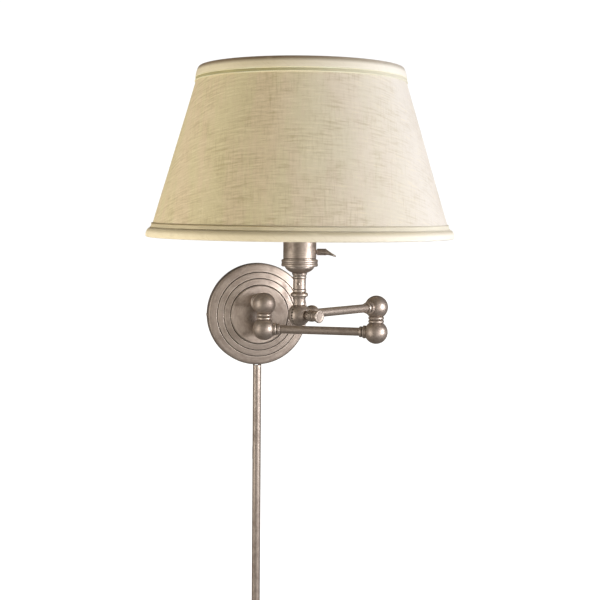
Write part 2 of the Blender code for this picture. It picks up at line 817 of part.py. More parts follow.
def blade_mesh(name, sections, up, across, sides=12):
    """Oval sections lofted along Z: (distance, drop, half width, half thickness)."""
    work = bmesh.new()
    rows = []
    for distance, drop, width, thickness in sections:
        row = []
        for side in range(sides):
            angle = math.tau * side / sides
            place = across * width * math.cos(angle) + up * (drop + thickness * math.sin(angle))
            place = place + Vector((0.0, 0.0, distance))
            row.append(work.verts.new(place * MM))
        rows.append(row)
    for lower, upper in zip(rows, rows[1:]):
        for side in range(sides):
            after = (side + 1) % sides
            work.faces.new((lower[side], lower[after], upper[after], upper[side]))
    work.faces.new(list(reversed(rows[0])))
    work.faces.new(rows[-1])
    bmesh.ops.recalc_face_normals(work, faces=work.faces)
    mesh = bpy.data.meshes.new(name)
    work.to_mesh(mesh)
    work.free()
    return mesh


# Shade, its trims, wires and fitter


def cloth_radius(height):
    """The cloth's outer radius at a height above the tilt knuckle's centre."""
    return SHADE_BASE_RADIUS - (height - SHADE_BASE) * SHADE_SLOPE


def make_cloth(shop, head):
    low = SHADE_BASE + 0.5
    high = SHADE_TOP - 0.5
    profile = [
        (cloth_radius(high) - CLOTH_THICKNESS, high),
        (cloth_radius(high), high),
        (cloth_radius(low), low),
        (cloth_radius(low) - CLOTH_THICKNESS, low),
    ]
    turned(shop, "shade_cloth", profile, head, "linen", SHADE_STEPS, closed=True)


def make_roll(shop, name, head, low, tall, bulge):
    """A padded hem outside the cloth, flat against it and rounded outwards."""
    high = low + tall
    middle = (low + high) / 2
    profile = []
    for step in range(5):
        angle = math.pi / 2 - math.pi * step / 4
        height = middle + tall / 2 * math.sin(angle)
        profile.append((cloth_radius(height) + 0.8 + bulge * math.cos(angle), height))
    profile.append((cloth_radius(low) + GAP, low))
    profile.append((cloth_radius(high) + GAP, high))
    turned(shop, name, profile, head, "linen", SHADE_STEPS, closed=True)


def make_tape(shop, name, head, low, tall):
    high = low + tall
    profile = [
        (cloth_radius(high) + GAP, high),
        (cloth_radius(high) + 1.0, high),
        (cloth_radius(low) + 1.0, low),
        (cloth_radius(low) + GAP, low),
    ]
    turned(shop, name, profile, head, "trim_tape", SHADE_STEPS, closed=True)


def make_wire_ring(shop, name, head, height):
    radius = cloth_radius(height) - CLOTH_THICKNESS - 1.7
    profile = [(radius + r, height + z) for r, z in arc(1.2, 90.0, -270.0, 5)[:-1]]
    turned(shop, name, profile, head, "white_wire", SHADE_STEPS, closed=True)


def make_fitter(shop, head):
    """The ring that drops over the socket, with three arms to the bottom wire."""
    profile = [(17.5, 80.0), (23.0, 80.0), (23.0, 78.8), (17.5, 78.8)]
    fitter = turned(shop, "shade_fitter", profile, head, "white_wire", closed=True)
    bottom = 79.6
    reach = cloth_radius(bottom) - CLOTH_THICKNESS - 1.7 - 1.6
    route = [(21.8, 0.0, 79.4), (40.0, 0.0, 84.0), (110.0, 0.0, 84.0), (reach, 0.0, bottom)]
    for arm in range(3):
        turn = head @ turned_about_z(arm * 120.0 + 30.0)
        mesh = wire_mesh(f"fitter_arm_{arm + 1}", route, 1.25, turn)
        join_mesh(shop, fitter, mesh, turn)
    nut = [(17.4, 85.4), (19.6, 85.4), (20.4, 84.6), (20.4, 80.4), (17.4, 80.4)]
    turned(shop, "shade_ring_nut", nut, head, "antique_nickel", closed=True)


def make_shade(shop, head):
    make_cloth(shop, head)
    top_roll = SHADE_TOP - TOP_ROLL_HEIGHT
    bottom_tape = SHADE_BASE + BOTTOM_ROLL_HEIGHT + GAP
    make_roll(shop, "shade_top_roll", head, top_roll, TOP_ROLL_HEIGHT, 1.2)
    make_roll(shop, "shade_bottom_roll", head, SHADE_BASE, BOTTOM_ROLL_HEIGHT, 3.0)
    make_tape(shop, "shade_top_tape", head, top_roll - TOP_TAPE_HEIGHT - GAP, TOP_TAPE_HEIGHT)
    make_tape(shop, "shade_bottom_tape", head, bottom_tape, BOTTOM_TAPE_HEIGHT)
    make_wire_ring(shop, "shade_top_wire", head, SHADE_TOP - 2.6)
    make_wire_ring(shop, "shade_bottom_wire", head, SHADE_BASE + 2.6)
    make_fitter(shop, head)


# Cord cover on the wall


def make_cord_cover(shop):
    centre = moved(0.0, -COVER_DEPTH, 0.0)
    low = COVER_TOP - COVER_LENGTH
    tube = ring(shop, "cord_cover", COVER_BORE, COVER_RADIUS, low, COVER_TOP, centre, "antique_nickel")
    slot_place = moved(0.0, -COVER_DEPTH + COVER_RADIUS, (low + COVER_TOP) / 2)
    cut_box(shop, tube, (COVER_SLOT, 2 * COVER_RADIUS, COVER_LENGTH + 10.0), slot_place)
    for name, height in (("cover_clip_upper", -160.0), ("cover_clip_lower", -345.0)):
        make_clip_for_cover(shop, name, height)
    bush = [
        (2.6, 6.0),
        (3.7, 6.0),
        (3.7, -GAP),
        (COVER_RADIUS, -GAP),
        (COVER_RADIUS, -1.6),
        (4.2, -2.0),
        (2.6, -2.0),
    ]
    frame = moved(0.0, -COVER_DEPTH, low)
    turned(shop, "cover_end_bush", bush, frame, "black_rubber", HIDDEN_STEPS, closed=True)


def make_clip_for_cover(shop, name, height):
    """A spring clip: an outline of foot, web and head, drawn out along the cover."""
    outline = [
        (-3.8, 0.0),
        (-3.8, -0.8),
        (-1.4, -0.8),
        (-1.4, -3.0),
        (-2.4, -3.0),
        (-2.4, -4.0),
        (2.4, -4.0),
        (2.4, -3.0),
        (1.4, -3.0),
        (1.4, -0.8),
        (3.8, -0.8),
        (3.8, 0.0),
    ]
    frame = moved(0.0, 0.0, height)
    shop.add(name, outline_mesh(name, outline, 14.0, frame), frame, "zinc_steel")


# Assembly


def build():
    clear_scene()
    shop = Workshop()
    wall = Matrix.Rotation(math.radians(90.0), 4, "X")
    wall_hinge = moved(0.0, -PIVOT_DEPTH, 0.0) @ turned_about_z(LOWER_ARM_ANGLE)
    elbow_hinge = wall_hinge @ moved(ARM_LENGTH, 0.0, 0.0) @ turned_about_z(ELBOW_ANGLE)
    head = elbow_hinge @ moved(ARM_LENGTH, 0.0, BALL_RISE) @ turned_about_z(90.0)

    make_strap(shop)
    make_backplate(shop, wall)
    make_rim_screws(shop)
    make_cord_grommet(shop)
    make_plate_nipple(shop, wall)
    make_wall_stub_collar(shop, wall)
    straight_on = moved(0.0, -PIVOT_DEPTH, 0.0)
    stub = {"direction": (0.0, 1.0, 0.0), "radius": NIPPLE_HOLE, "reach": 9.4, "counterbore": False}
    make_ball(shop, "wall_upper_ball", straight_on, 1, stub)
    make_neck_ring(shop, "wall_upper_ring", straight_on, 1)
    make_stem(shop, "wall_pivot_stem", straight_on)
    make_clip(shop, "wall_pivot_clip", straight_on, -1)
    make_cord_cover(shop)

    shop.set_pivot("wall_pivot", wall_hinge)
    near = {"direction": (1.0, 0.0, 0.0), "radius": SOCKET_BORE, "reach": 7.0, "counterbore": True}
    make_ball(shop, "wall_lower_ball", wall_hinge, -1, near)
    make_neck_ring(shop, "wall_lower_ring", wall_hinge, -1)
    make_lower_arm(shop, wall_hinge)
    elbow_on_lower = wall_hinge @ moved(ARM_LENGTH, 0.0, 0.0)
    far = {"direction": (-1.0, 0.0, 0.0), "radius": SOCKET_BORE, "reach": 7.0, "counterbore": False}
    make_ball(shop, "elbow_lower_ball", elbow_on_lower, -1, far)
    make_neck_ring(shop, "elbow_lower_ring", elbow_on_lower, -1)
    make_stem(shop, "elbow_pivot_stem", elbow_on_lower)
    make_clip(shop, "elbow_pivot_clip", elbow_on_lower, 1)

    shop.set_pivot("elbow_pivot", elbow_hinge)
    make_ball(shop, "elbow_upper_ball", elbow_hinge, 1, near)
    make_neck_ring(shop, "elbow_upper_ring", elbow_hinge, 1)
    make_upper_arm(shop, elbow_hinge)
    make_rear_half(shop, head)

    shop.set_pivot("tilt_pivot", head)
    make_front_half(shop, head)
    make_neck(shop, head)
    make_socket_cup(shop, head)
    make_socket_shell(shop, head)
    make_socket_core(shop, head)
    make_screw_shell(shop, head)
    make_bulb(shop, head)
    make_shade(shop, head)

    shop.set_pivot("knob_pivot", head)
    make_clamp(shop, head)

    shop.set_pivot("key_pivot", key_frame(head))
    make_key(shop, head)


build()
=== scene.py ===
"""Swing arm wall sconce: the finished look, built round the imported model.

Lengths in the profiles are millimetres. A profile is a list of (radius, height) or
(radius, height, fillet) and runs down the outer side of a turned piece.
"""

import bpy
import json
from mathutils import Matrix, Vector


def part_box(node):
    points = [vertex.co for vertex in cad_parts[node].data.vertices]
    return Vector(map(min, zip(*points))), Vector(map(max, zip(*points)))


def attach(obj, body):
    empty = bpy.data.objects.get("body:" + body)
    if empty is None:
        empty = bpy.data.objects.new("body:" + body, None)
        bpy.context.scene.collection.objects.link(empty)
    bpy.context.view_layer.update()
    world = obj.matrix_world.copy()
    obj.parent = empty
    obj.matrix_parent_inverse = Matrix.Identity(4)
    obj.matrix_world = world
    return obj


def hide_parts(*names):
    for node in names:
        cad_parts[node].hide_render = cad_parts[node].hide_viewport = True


bl_info = {
    "name": "Swing Arm Wall Sconce",
    "version": (1, 0, 0),
    "blender": (4, 5, 0),
    "location": "View3D > Sidebar > Sconce",
    "description": "Builds the finished wall plate, arms, knuckles, socket and linen shade",
    "category": "Add Mesh",
}

import json
import math

import bmesh
import bpy
import numpy as np
from mathutils import Matrix, Vector

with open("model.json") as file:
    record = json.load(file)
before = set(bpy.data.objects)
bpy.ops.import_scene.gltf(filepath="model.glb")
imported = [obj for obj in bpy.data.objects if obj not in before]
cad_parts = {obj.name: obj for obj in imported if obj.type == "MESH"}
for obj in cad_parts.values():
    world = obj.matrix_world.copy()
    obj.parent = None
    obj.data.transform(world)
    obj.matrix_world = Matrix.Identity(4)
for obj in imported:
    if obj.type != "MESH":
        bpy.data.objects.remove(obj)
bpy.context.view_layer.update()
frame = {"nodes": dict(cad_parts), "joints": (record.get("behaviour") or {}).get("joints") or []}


MM = 0.001
JOINTS = {joint["name"]: joint for joint in frame["joints"]}
HINGE = Vector(JOINTS["wall_swing"]["pos_m"])
ELBOW = Vector(JOINTS["elbow_swing"]["pos_m"])
TILT = Vector(JOINTS["head_tilt"]["pos_m"])
TILT_AXIS = Vector(JOINTS["head_tilt"]["axis"]).normalized()
KEY = Vector(JOINTS["switch_key_turn"]["pos_m"])
KEY_AXIS = Vector(JOINTS["switch_key_turn"]["axis"]).normalized()
UP = Vector((0.0, 0.0, 1.0))
OUT = Vector((0.0, -1.0, 0.0))
LOWER_ALONG = (ELBOW - HINGE).normalized()
UPPER_ALONG = Vector((TILT.x - ELBOW.x, TILT.y - ELBOW.y, 0.0)).normalized()
ARM_LENGTH = (ELBOW - HINGE).length / MM
PLATE_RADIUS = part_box("backplate")[1].x
RISE = TILT.z / MM
COVER_LOW, COVER_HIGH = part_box("cord_cover")
CAMERA_PLACE = Vector((-0.2942, -1.2479, 0.1230))
SEAT_GAP = 0.3  # between a ball and the collar that follows it, in millimetres


# Sizes and colours that a user would change


LENGTH = {"unit": "LENGTH", "subtype": "DISTANCE"}
COLOUR = {"size": 3, "subtype": "COLOR"}


class SconceSizes(bpy.types.PropertyGroup):
    plate_radius: bpy.props.FloatProperty(
        name="Plate radius",
        description="Radius of the round wall plate",
        default=PLATE_RADIUS,
        **LENGTH,
    )
    ball_radius: bpy.props.FloatProperty(
        name="Hinge ball radius",
        description="Radius of the four hinge balls",
        default=0.0126,
        **LENGTH,
    )
    knuckle_radius: bpy.props.FloatProperty(
        name="Tilt knuckle radius",
        description="Radius of the toothed knuckle under the socket",
        default=0.0113,
        **LENGTH,
    )
    tube_radius: bpy.props.FloatProperty(
        name="Arm tube radius",
        description="Outer radius of both arm tubes",
        default=0.0045,
        **LENGTH,
    )
    shade_base: bpy.props.FloatProperty(
        name="Shade base height",
        description="Height of the shade's lower edge above the tilt knuckle",
        default=0.077,
        **LENGTH,
    )
    shade_height: bpy.props.FloatProperty(
        name="Shade height",
        description="Height of the shade from edge to edge",
        default=0.165,
        **LENGTH,
    )
    shade_base_radius: bpy.props.FloatProperty(
        name="Shade base radius",
        description="Cloth radius at the lower edge",
        default=0.1488,
        **LENGTH,
    )
    shade_top_radius: bpy.props.FloatProperty(
        name="Shade top radius",
        description="Cloth radius at the upper edge",
        default=0.0987,
        **LENGTH,
    )
    teeth: bpy.props.IntProperty(
        name="Knuckle teeth",
        description="Notches round the seam of the tilt knuckle",
        default=22,
        min=8,
        max=40,
    )


class SconceColours(bpy.types.PropertyGroup):
    nickel: bpy.props.FloatVectorProperty(
        name="Nickel",
        description="Open surfaces of the plated metal",
        default=(0.46, 0.375, 0.315),
        **COLOUR,
    )
    # The dark colour of the hollows: oxide, and also painted shade.
    patina_and_shade: bpy.props.FloatVectorProperty(
        name="Patina",
        description="Dark tarnish in the grooves",
        default=(0.045, 0.030, 0.024),
        **COLOUR,
    )
    # The light colour of convex edges: rubbed wear, and also a painted highlight.
    rubbed_and_highlight: bpy.props.FloatVectorProperty(
        name="Rubbed edge",
        description="Edges that handling has brightened",
        default=(0.72, 0.63, 0.54),
        **COLOUR,
    )
    linen: bpy.props.FloatVectorProperty(
        name="Linen",
        description="Main colour of the shade cloth",
        default=(0.78, 0.685, 0.485),
        **COLOUR,
    )
    tape: bpy.props.FloatVectorProperty(
        name="Trim tape",
        description="Flat tape beside the rolled hems",
        default=(0.50, 0.44, 0.22),
        **COLOUR,
    )


# Nodes written as expressions


class Wire:
    """A node socket that adds Math nodes when it is used in an expression."""

    def __init__(self, tree, socket):
        self.tree = tree
        self.socket = socket

    def other(self, name):
        """Another output of the same node."""
        return Wire(self.tree, self.socket.node.outputs[name])

    def maths(self, operation, *values, clamp=False):
        settings = {"operation": operation, "use_clamp": clamp}
        return self.tree.node("ShaderNodeMath", settings, dict(enumerate(values)))

    def __add__(self, other):
        return self.maths("ADD", self, other)

    def __sub__(self, other):
        return self.maths("SUBTRACT", self, other)

    def __rsub__(self, other):
        return self.maths("SUBTRACT", other, self)

    def __mul__(self, other):
        return self.maths("MULTIPLY", self, other)

    def __truediv__(self, other):
        return self.maths("DIVIDE", self, other)

    __radd__ = __add__
    __rmul__ = __mul__

    def held(self):
        """The value kept between 0 and 1."""
        return self.maths("ADD", self, 0.0, clamp=True)

    def sine(self):
        return self.maths("SINE", self)

    def cosine(self):
        return self.maths("COSINE", self)


class NodeMaker:
    """Adds nodes to a tree: a type, its settings, then the values or links of its sockets."""

    def __init__(self, tree):
        self.nodes, self.links = tree.nodes, tree.links

    def node(self, kind, settings=None, inputs=None, output=0):
        made = self.nodes.new(kind)
        for key, value in (settings or {}).items():
            setattr(made, key, value)
        for key, value in (inputs or {}).items():
            self.feed(made.inputs[key], value)
        return Wire(self, made.outputs[output])

    def feed(self, socket, value):
        if isinstance(value, Wire):
            self.links.new(value.socket, socket)
        elif socket.type == "RGBA" and len(value) == 3:
            socket.default_value = (*value, 1.0)
        else:
            socket.default_value = value


class Shading(NodeMaker):
    """A material's node tree and the short ways to fill it."""

    def __init__(self, name):
        self.material = bpy.data.materials.new(name)
        self.material.use_nodes = True
        super().__init__(self.material.node_tree)
        self.shader = self.nodes["Principled BSDF"]

    def set(self, **sockets):
        for key, value in sockets.items():
            self.feed(self.shader.inputs[key.replace("_", " ")], value)

    def place(self):
        return self.node("ShaderNodeTexCoord", output="Object")

    def uv(self):
        chart = self.node("ShaderNodeUVMap", {"uv_map": "UVMap"})
        across = self.node("ShaderNodeSeparateXYZ", None, {0: chart}, output="X")
        return across, across.other("Y")

    def attribute(self, name):
        return self.node("ShaderNodeAttribute", {"attribute_name": name}, output="Fac")

    def vector(self, x, y, z):
        return self.node("ShaderNodeCombineXYZ", None, {"X": x, "Y": y, "Z": z})

    def noise(self, vector, scale, detail=3.0, roughness=0.5):
        inputs = {"Vector": vector, "Scale": scale, "Detail": detail, "Roughness": roughness}
        return self.node("ShaderNodeTexNoise", None, inputs)

    def field(self, x, y, z, detail, roughness):
        """Noise whose three axes run at their own rates."""
        return self.noise(self.vector(x, y, z), 1.0, detail, roughness)

    def mix(self, factor, first, second):
        inputs = {0: factor, 6: first, 7: second}
        return self.node("ShaderNodeMix", {"data_type": "RGBA"}, inputs, output=2)

    def band(self, value, low, high):
        """Smooth step from 0 at low to 1 at high."""
        inputs = {"Value": value, "From Min": low, "From Max": high}
        return self.node("ShaderNodeMapRange", {"interpolation_type": "SMOOTHSTEP"}, inputs)

    def bump(self, height, distance, strength=1.0):
        inputs = {"Height": height, "Distance": distance, "Strength": strength}
        return self.node("ShaderNodeBump", None, inputs)


def finish_colours():
    return bpy.context.scene.sconce_colours


def scaled(colour, *factors):
    """The colour times one factor, or times one for each channel, with no channel above 1."""
    return tuple(min(float(c), 1.0) for c in np.array(colour) * factors)


def antique_nickel(name):
    """Brushed nickel plate: turning lines, cloudy tarnished patches, hollows darkened with oxide and
    painted shade, and edges brightened by rubbing and a painted highlight.
    """
    colours = finish_colours()
    look = Shading(name)
    place = look.place()
    cloud = look.noise(place, 60.0, 5.0, 0.62)
    spots = look.noise(place, 260.0, 4.0, 0.7)
    fine = look.noise(place, 900.0, 2.0, 0.6)
    around, along = look.uv()
    across, ahead = (around * math.tau).cosine(), (around * math.tau).sine()
    lines = look.field(across * 1.6, ahead * 1.6, along * 2200.0, 4.0, 0.7)
    streaks = look.field(across * 3.0, ahead * 3.0, along * 420.0, 4.0, 0.65)
    groove, edge = look.attribute("groove"), look.attribute("edge")
    blotch = look.band(cloud, 0.46, 0.70)
    pits = look.band(spots, 0.58, 0.78)
    # The groove attribute darkens hollows: oxide in them, and painted shade where light falls off.
    groove_patina_and_shade = (groove * (1.15 + 0.5 * spots) - 0.06).held()
    tarnish_and_shade = (groove_patina_and_shade * 0.92 + pits * 0.16 + blotch * 0.10).held()
    nickel, rubbed_and_highlight = tuple(colours.nickel), tuple(colours.rubbed_and_highlight)
    brown = scaled(nickel, 0.66, 0.62, 0.60)
    polished = tuple(0.55 * n + 0.45 * r for n, r in zip(nickel, rubbed_and_highlight))
    bare = look.mix(look.band(streaks, 0.34, 0.68), nickel, polished)
    lined = look.mix((look.band(lines, 0.52, 0.78) * 0.35).held(), bare, brown)
    clouded = look.mix((blotch * 0.55).held(), lined, brown)
    # Convex edges turn lighter: rubbed wear, and a painted highlight.
    worn_and_lit = look.mix((edge * (0.55 + 0.6 * fine)).held(), clouded, rubbed_and_highlight)
    look.set(Base_Color=look.mix(tarnish_and_shade, worn_and_lit, tuple(colours.patina_and_shade)))
    look.set(Metallic=(0.86 - tarnish_and_shade * 0.35).held())
    gloss = 0.36 + lines * 0.10 + blotch * 0.10 + streaks * 0.08 + tarnish_and_shade * 0.28 - edge * 0.06
    look.set(Roughness=gloss.held())
    relief = lines * 0.45 + fine * 0.20 + spots * 0.55 + streaks * 0.35
    look.set(Normal=look.bump(relief, 0.00022, 0.42))
    return look.material


YARN_PITCH = 0.00105


def weave(look, across, along):
    """Heights of a plain weave with uneven yarns, and the slub marks along both ways."""
    drift = look.field(across * 40.0, along * 40.0, 0.0, 2.0, 0.5)
    uneven = look.field(across * 260.0, along * 260.0, 3.0, 2.0, 0.5)
    wander = drift * 0.0016 + uneven * 0.0005
    turns = math.pi / YARN_PITCH
    warp = ((across + wander) * turns).sine()
    weft = ((along + wander) * turns).sine()
    over = warp * warp * (0.55 + 0.45 * uneven) + weft * weft * (0.9 - 0.35 * uneven)
    long_weft = look.field(across * 48.0, along * 480.0, 7.0, 4.0, 0.66)
    long_warp = look.field(across * 520.0, along * 52.0, 11.0, 4.0, 0.66)
    return over, long_weft, long_warp


def linen_cloth(name):
    """Cream linen: woven yarns, slubs both ways, rosy and green clouds, and a painted lit side, paler
    towards the key light.
    """
    look = Shading(name)
    across, along = look.uv()
    over, wefts, warps = weave(look, across, along)
    linen = tuple(finish_colours().linen)
    rosy = scaled(linen, 1.00, 0.945, 0.92)
    olive = scaled(linen, 0.965, 0.97, 0.87)
    painted_lit_colour = scaled(linen, 1.12, 1.20, 1.58)
    tint = look.field(across * 44.0, along * 9.0, 1.0, 4.0, 0.62)
    cloth = look.mix(look.band(tint, 0.40, 0.60), rosy, olive)
    # Painted light: the side towards the key light is paler and less yellow.
    sun = look.attribute("sun")
    cloth = look.mix(sun, cloth, painted_lit_colour)
    dark = scaled(linen, 0.62, 0.56, 0.42)
    pale = scaled(linen, 1.22, 1.24, 1.30)
    patchy = look.field(across * 26.0, along * 22.0, 17.0, 3.0, 0.6)
    # The slub marks fade on the painted lit side.
    dense = (0.30 + 1.0 * look.band(patchy, 0.36, 0.60)) * (1.0 - sun * 0.55)
    cloth = look.mix((look.band(wefts, 0.44, 0.70) * dense * 0.50).held(), cloth, dark)
    cloth = look.mix((look.band(warps, 0.46, 0.72) * dense * 0.34).held(), cloth, dark)
    thin = look.band(wefts, 0.46, 0.26) * 0.55 + look.band(warps, 0.42, 0.24) * 0.35
    cloth = look.mix(thin.held(), cloth, pale)
    shaded = look.mix(((1.0 - over * 0.80) * 0.34).held(), cloth, dark)
    look.set(Base_Color=shaded, Roughness=(0.92 - over * 0.10).held())
    look.set(Sheen_Weight=0.15, Sheen_Roughness=0.5, Sheen_Tint=(1.0, 0.95, 0.85))
    look.set(Specular_IOR_Level=0.2)
    relief = over * 0.5 + wefts * 1.1 + warps * 0.8
    look.set(Normal=look.bump(relief, 0.0006, 0.8))
    return look.material


def hem_linen(name, light, painted_shade_colour):
    """Linen rolled on the bias: slanted gathers, and a painted shade along its upper rim."""
    look = Shading(name)
    across, along = look.uv()
    slanted = across * 0.8 + along * 0.6
    upright = along * 0.8 - across * 0.6
    over, wefts, warps = weave(look, slanted, upright)
    base = scaled(tuple(finish_colours().linen), light)
    folds = look.field(slanted * 140.0, upright * 700.0, 5.0, 3.0, 0.6)
    shade = scaled(base, 0.74, 0.68, 0.54)
    cloth = look.mix(look.band(folds, 0.50, 0.78) * 0.28, base, shade)
    cloth = look.mix((look.band(wefts, 0.54, 0.78) * 0.25).held(), cloth, shade)
    patch = look.field(across * 30.0, along * 60.0, 2.0, 2.0, 0.5)
    # The rim attribute marks the painted shade along the hem's upper edge.
    rim = look.attribute("rim")
    # Painted light: the hem is paler on the side towards the key light.
    sun = look.attribute("sun")
    painted_top_shade = (rim * look.band(patch, 0.12, 0.40) * (1.0 - sun * 0.45)).held()
    painted_lit_hem = look.mix(sun * 0.75, cloth, (0.94, 0.90, 0.84))
    colour = look.mix(painted_top_shade, painted_lit_hem, painted_shade_colour)
    look.set(Base_Color=colour, Roughness=(0.93 - over * 0.08).held())
    look.set(Sheen_Weight=0.25, Sheen_Roughness=0.5, Specular_IOR_Level=0.25)
    look.set(Normal=look.bump(folds * 1.4 + over * 0.5 + warps * 0.4, 0.0004, 0.8))
    return look.material


def ribbed_tape(name, colour, ribs=0.0009, depth=0.45):
    """Woven tape: fine ribs across its width, with uneven dye."""
    look = Shading(name)
    across, along = look.uv()
    uneven = look.field(across * 300.0, along * 900.0, 0.0, 3.0, 0.55)
    rib = ((across + uneven * 0.0002) * (math.pi / ribs)).sine()
    height = rib * rib
    dye = look.field(across * 40.0, along * 90.0, 4.0, 3.0, 0.6)
    dark, pale = scaled(colour, 0.62), scaled(colour, 1.22)
    cloth = look.mix(look.band(dye, 0.35, 0.68), colour, pale)
    cloth = look.mix(((1.0 - height) * depth + uneven * 0.15).held(), cloth, dark)
    # Painted light: the tape is paler on the side towards the key light.
    cloth = look.mix(look.attribute("sun") * 0.62, cloth, (0.95, 0.91, 0.80))
    look.set(Base_Color=cloth, Roughness=(0.88 - height * 0.08).held())
    look.set(Sheen_Weight=0.2, Specular_IOR_Level=0.3)
    look.set(Normal=look.bump(height + uneven * 0.6, 0.0003, 0.8))
    return look.material


def plain_finish(name, colour, metallic, roughness, grain=1200.0, variation=0.22, depth=0.00006):
    """Any inner piece: its colour with cloudy variation, uneven gloss and a fine grain."""
    look = Shading(name)
    place = look.place()
    cloud = look.noise(place, 90.0, 4.0, 0.6)
    fine = look.noise(place, grain, 3.0, 0.6)
    dark, pale = scaled(colour, 1.0 - variation), scaled(colour, 1.0 + variation * 0.6)
    shade = look.mix(look.band(cloud, 0.35, 0.68), dark, pale)
    shade = look.mix((look.band(fine, 0.55, 0.80) * 0.30).held(), shade, scaled(colour, 0.5))
    look.set(Base_Color=shade, Metallic=metallic)
    look.set(Roughness=(roughness - 0.08 + cloud * 0.18 + fine * 0.06).held())
    look.set(Normal=look.bump(fine + cloud * 0.6, depth, 0.6))
    return look.material


def frosted_glass(name):
    look = Shading(name)
    place = look.place()
    powder = look.noise(place, 1400.0, 3.0, 0.6)
    cloud = look.noise(place, 45.0, 2.0, 0.5)
    colour = look.mix(look.band(cloud, 0.35, 0.65), (0.86, 0.85, 0.81), (0.93, 0.92, 0.89))
    look.set(Base_Color=colour, Roughness=(0.22 + powder * 0.16 + cloud * 0.06).held())
    look.set(Coat_Weight=0.35, Coat_Roughness=0.12)
    look.set(Normal=look.bump(powder, 0.00003, 0.5))
    return look.material


def trim_tape(name):
    return ribbed_tape(name, tuple(finish_colours().tape))


FINISHES = {
    "antique_nickel": (antique_nickel, "antique_nickel_turned"),
    "shade_linen": (linen_cloth, "shade_linen"),
    # The last value of each hem is the colour of the painted shade along its upper edge.
    "top_hem": (hem_linen, "top_hem_linen", 0.97, (0.22, 0.155, 0.09)),
    "bottom_hem": (hem_linen, "bottom_hem_linen", 1.14, (0.58, 0.49, 0.31)),
    "tape": (trim_tape, "olive_trim_tape"),
    "bottom_tape": (ribbed_tape, "bottom_trim_tape", (0.66, 0.57, 0.37)),
    "pale_piping": (ribbed_tape, "pale_piping", (0.98, 0.89, 0.60), 0.0006, 0.12),
    # A thin brown cord, darkened to stand as the painted shadow of the gap beside it as well.
    "brown_piping": (ribbed_tape, "brown_piping", (0.40, 0.31, 0.17), 0.0006, 0.2),
    "zinc": (plain_finish, "zinc_plate", (0.55, 0.55, 0.52), 1.0, 0.38),
    "brass": (plain_finish, "lamp_brass", (0.72, 0.52, 0.24), 1.0, 0.30),
    "rubber": (plain_finish, "black_rubber", (0.03, 0.03, 0.03), 0.0, 0.72),
    "phenolic": (plain_finish, "moulded_phenolic", (0.06, 0.05, 0.045), 0.0, 0.48),
    "card": (plain_finish, "fibre_liner", (0.45, 0.33, 0.20), 0.0, 0.88, 600.0, 0.3, 0.0002),
    "white_wire": (plain_finish, "white_wire_paint", (0.80, 0.79, 0.74), 0.0, 0.42),
    "glass": (frosted_glass, "frosted_bulb_glass"),
}
MADE = {}


def finish(name):
    """The named material, made the first time that it is asked for."""
    if name not in MADE:
        maker, label, *settings = FINISHES[name]
        MADE[name] = maker(label, *settings)
    return MADE[name]


# Shapes


def facing(origin, direction, side=None):
    """A frame at origin whose Z runs along direction and whose X leans towards side."""
    z = Vector(direction).normalized()
    hint = Vector(side) if side is not None else (UP if abs(z.z) < 0.9 else Vector((1.0, 0.0, 0.0)))
    x = (hint - z * hint.dot(z)).normalized()
    y = z.cross(x)
    turn = Matrix((x, y, z)).transposed().to_4x4()
    return Matrix.Translation(Vector(origin)) @ turn


HEAD = facing(TILT, UP, TILT_AXIS)


def rounded(profile, closed, segments=4):
    """The profile with an arc in place of each corner that names a fillet."""
    out = []
    count = len(profile)
    for index, item in enumerate(profile):
        corner = np.array(item[:2], float)
        radius = item[2] if len(item) > 2 else 0.0
        is_end = not closed and index in (0, count - 1)
        if radius <= 0.0 or is_end:
            out.append(corner)
            continue
        before = np.array(profile[index - 1][:2], float) - corner
        after = np.array(profile[(index + 1) % count][:2], float) - corner
        lengths = np.linalg.norm(before), np.linalg.norm(after)
        before, after = before / lengths[0], after / lengths[1]
        half = math.acos(max(-1.0, min(1.0, float(before @ after)))) / 2
        if half > 1.55:
            out.append(corner)
            continue
        cut = min(radius / math.tan(half), 0.45 * min(lengths))
        bisector = (before + after) / np.linalg.norm(before + after)
        centre = corner + bisector * cut / math.cos(half)
        start = corner + before * cut - centre
        end = corner + after * cut - centre
        for step in range(segments + 1):
            t = step / segments
            blend = start * (1 - t) + end * t
            out.append(centre + blend / np.linalg.norm(blend) * np.linalg.norm(start))
    return out


def filled(points, closed, spacing):
    """Extra points, so that none are further apart than spacing."""
    out = []
    total = len(points)
    for index in range(total if closed else total - 1):
        a, b = points[index], points[(index + 1) % total]
        pieces = max(1, int(math.ceil(np.linalg.norm(b - a) / spacing)))
        for piece in range(pieces):
            out.append(a + (b - a) * piece / pieces)
    if not closed:
        out.append(points[-1])
    return np.array(out)


def relief_of(points, closed, reach):
    """How hollow (+) or proud (-) the outline is at each point, over a short reach."""
    loop = np.vstack([points, points[:1]]) if closed else points
    steps = np.linalg.norm(np.diff(loop, axis=0), axis=1)
    travel = np.concatenate([[0.0], np.cumsum(steps)])
    total = travel[-1]
    here = travel[: len(points)]

    def at(where):
        where = np.mod(where, total) if closed else np.clip(where, 0.0, total)
        return np.stack([np.interp(where, travel, loop[:, 0]), np.interp(where, travel, loop[:, 1])], 1)

    ahead, behind = at(here + reach), at(here - reach)
    tangent = ahead - behind
    tangent /= np.maximum(np.linalg.norm(tangent, axis=1, keepdims=True), 1e-9)
    outward = np.stack([-tangent[:, 1], tangent[:, 0]], 1)
    lift = ((ahead + behind) / 2 - points) * outward
    return lift.sum(1) / reach, here


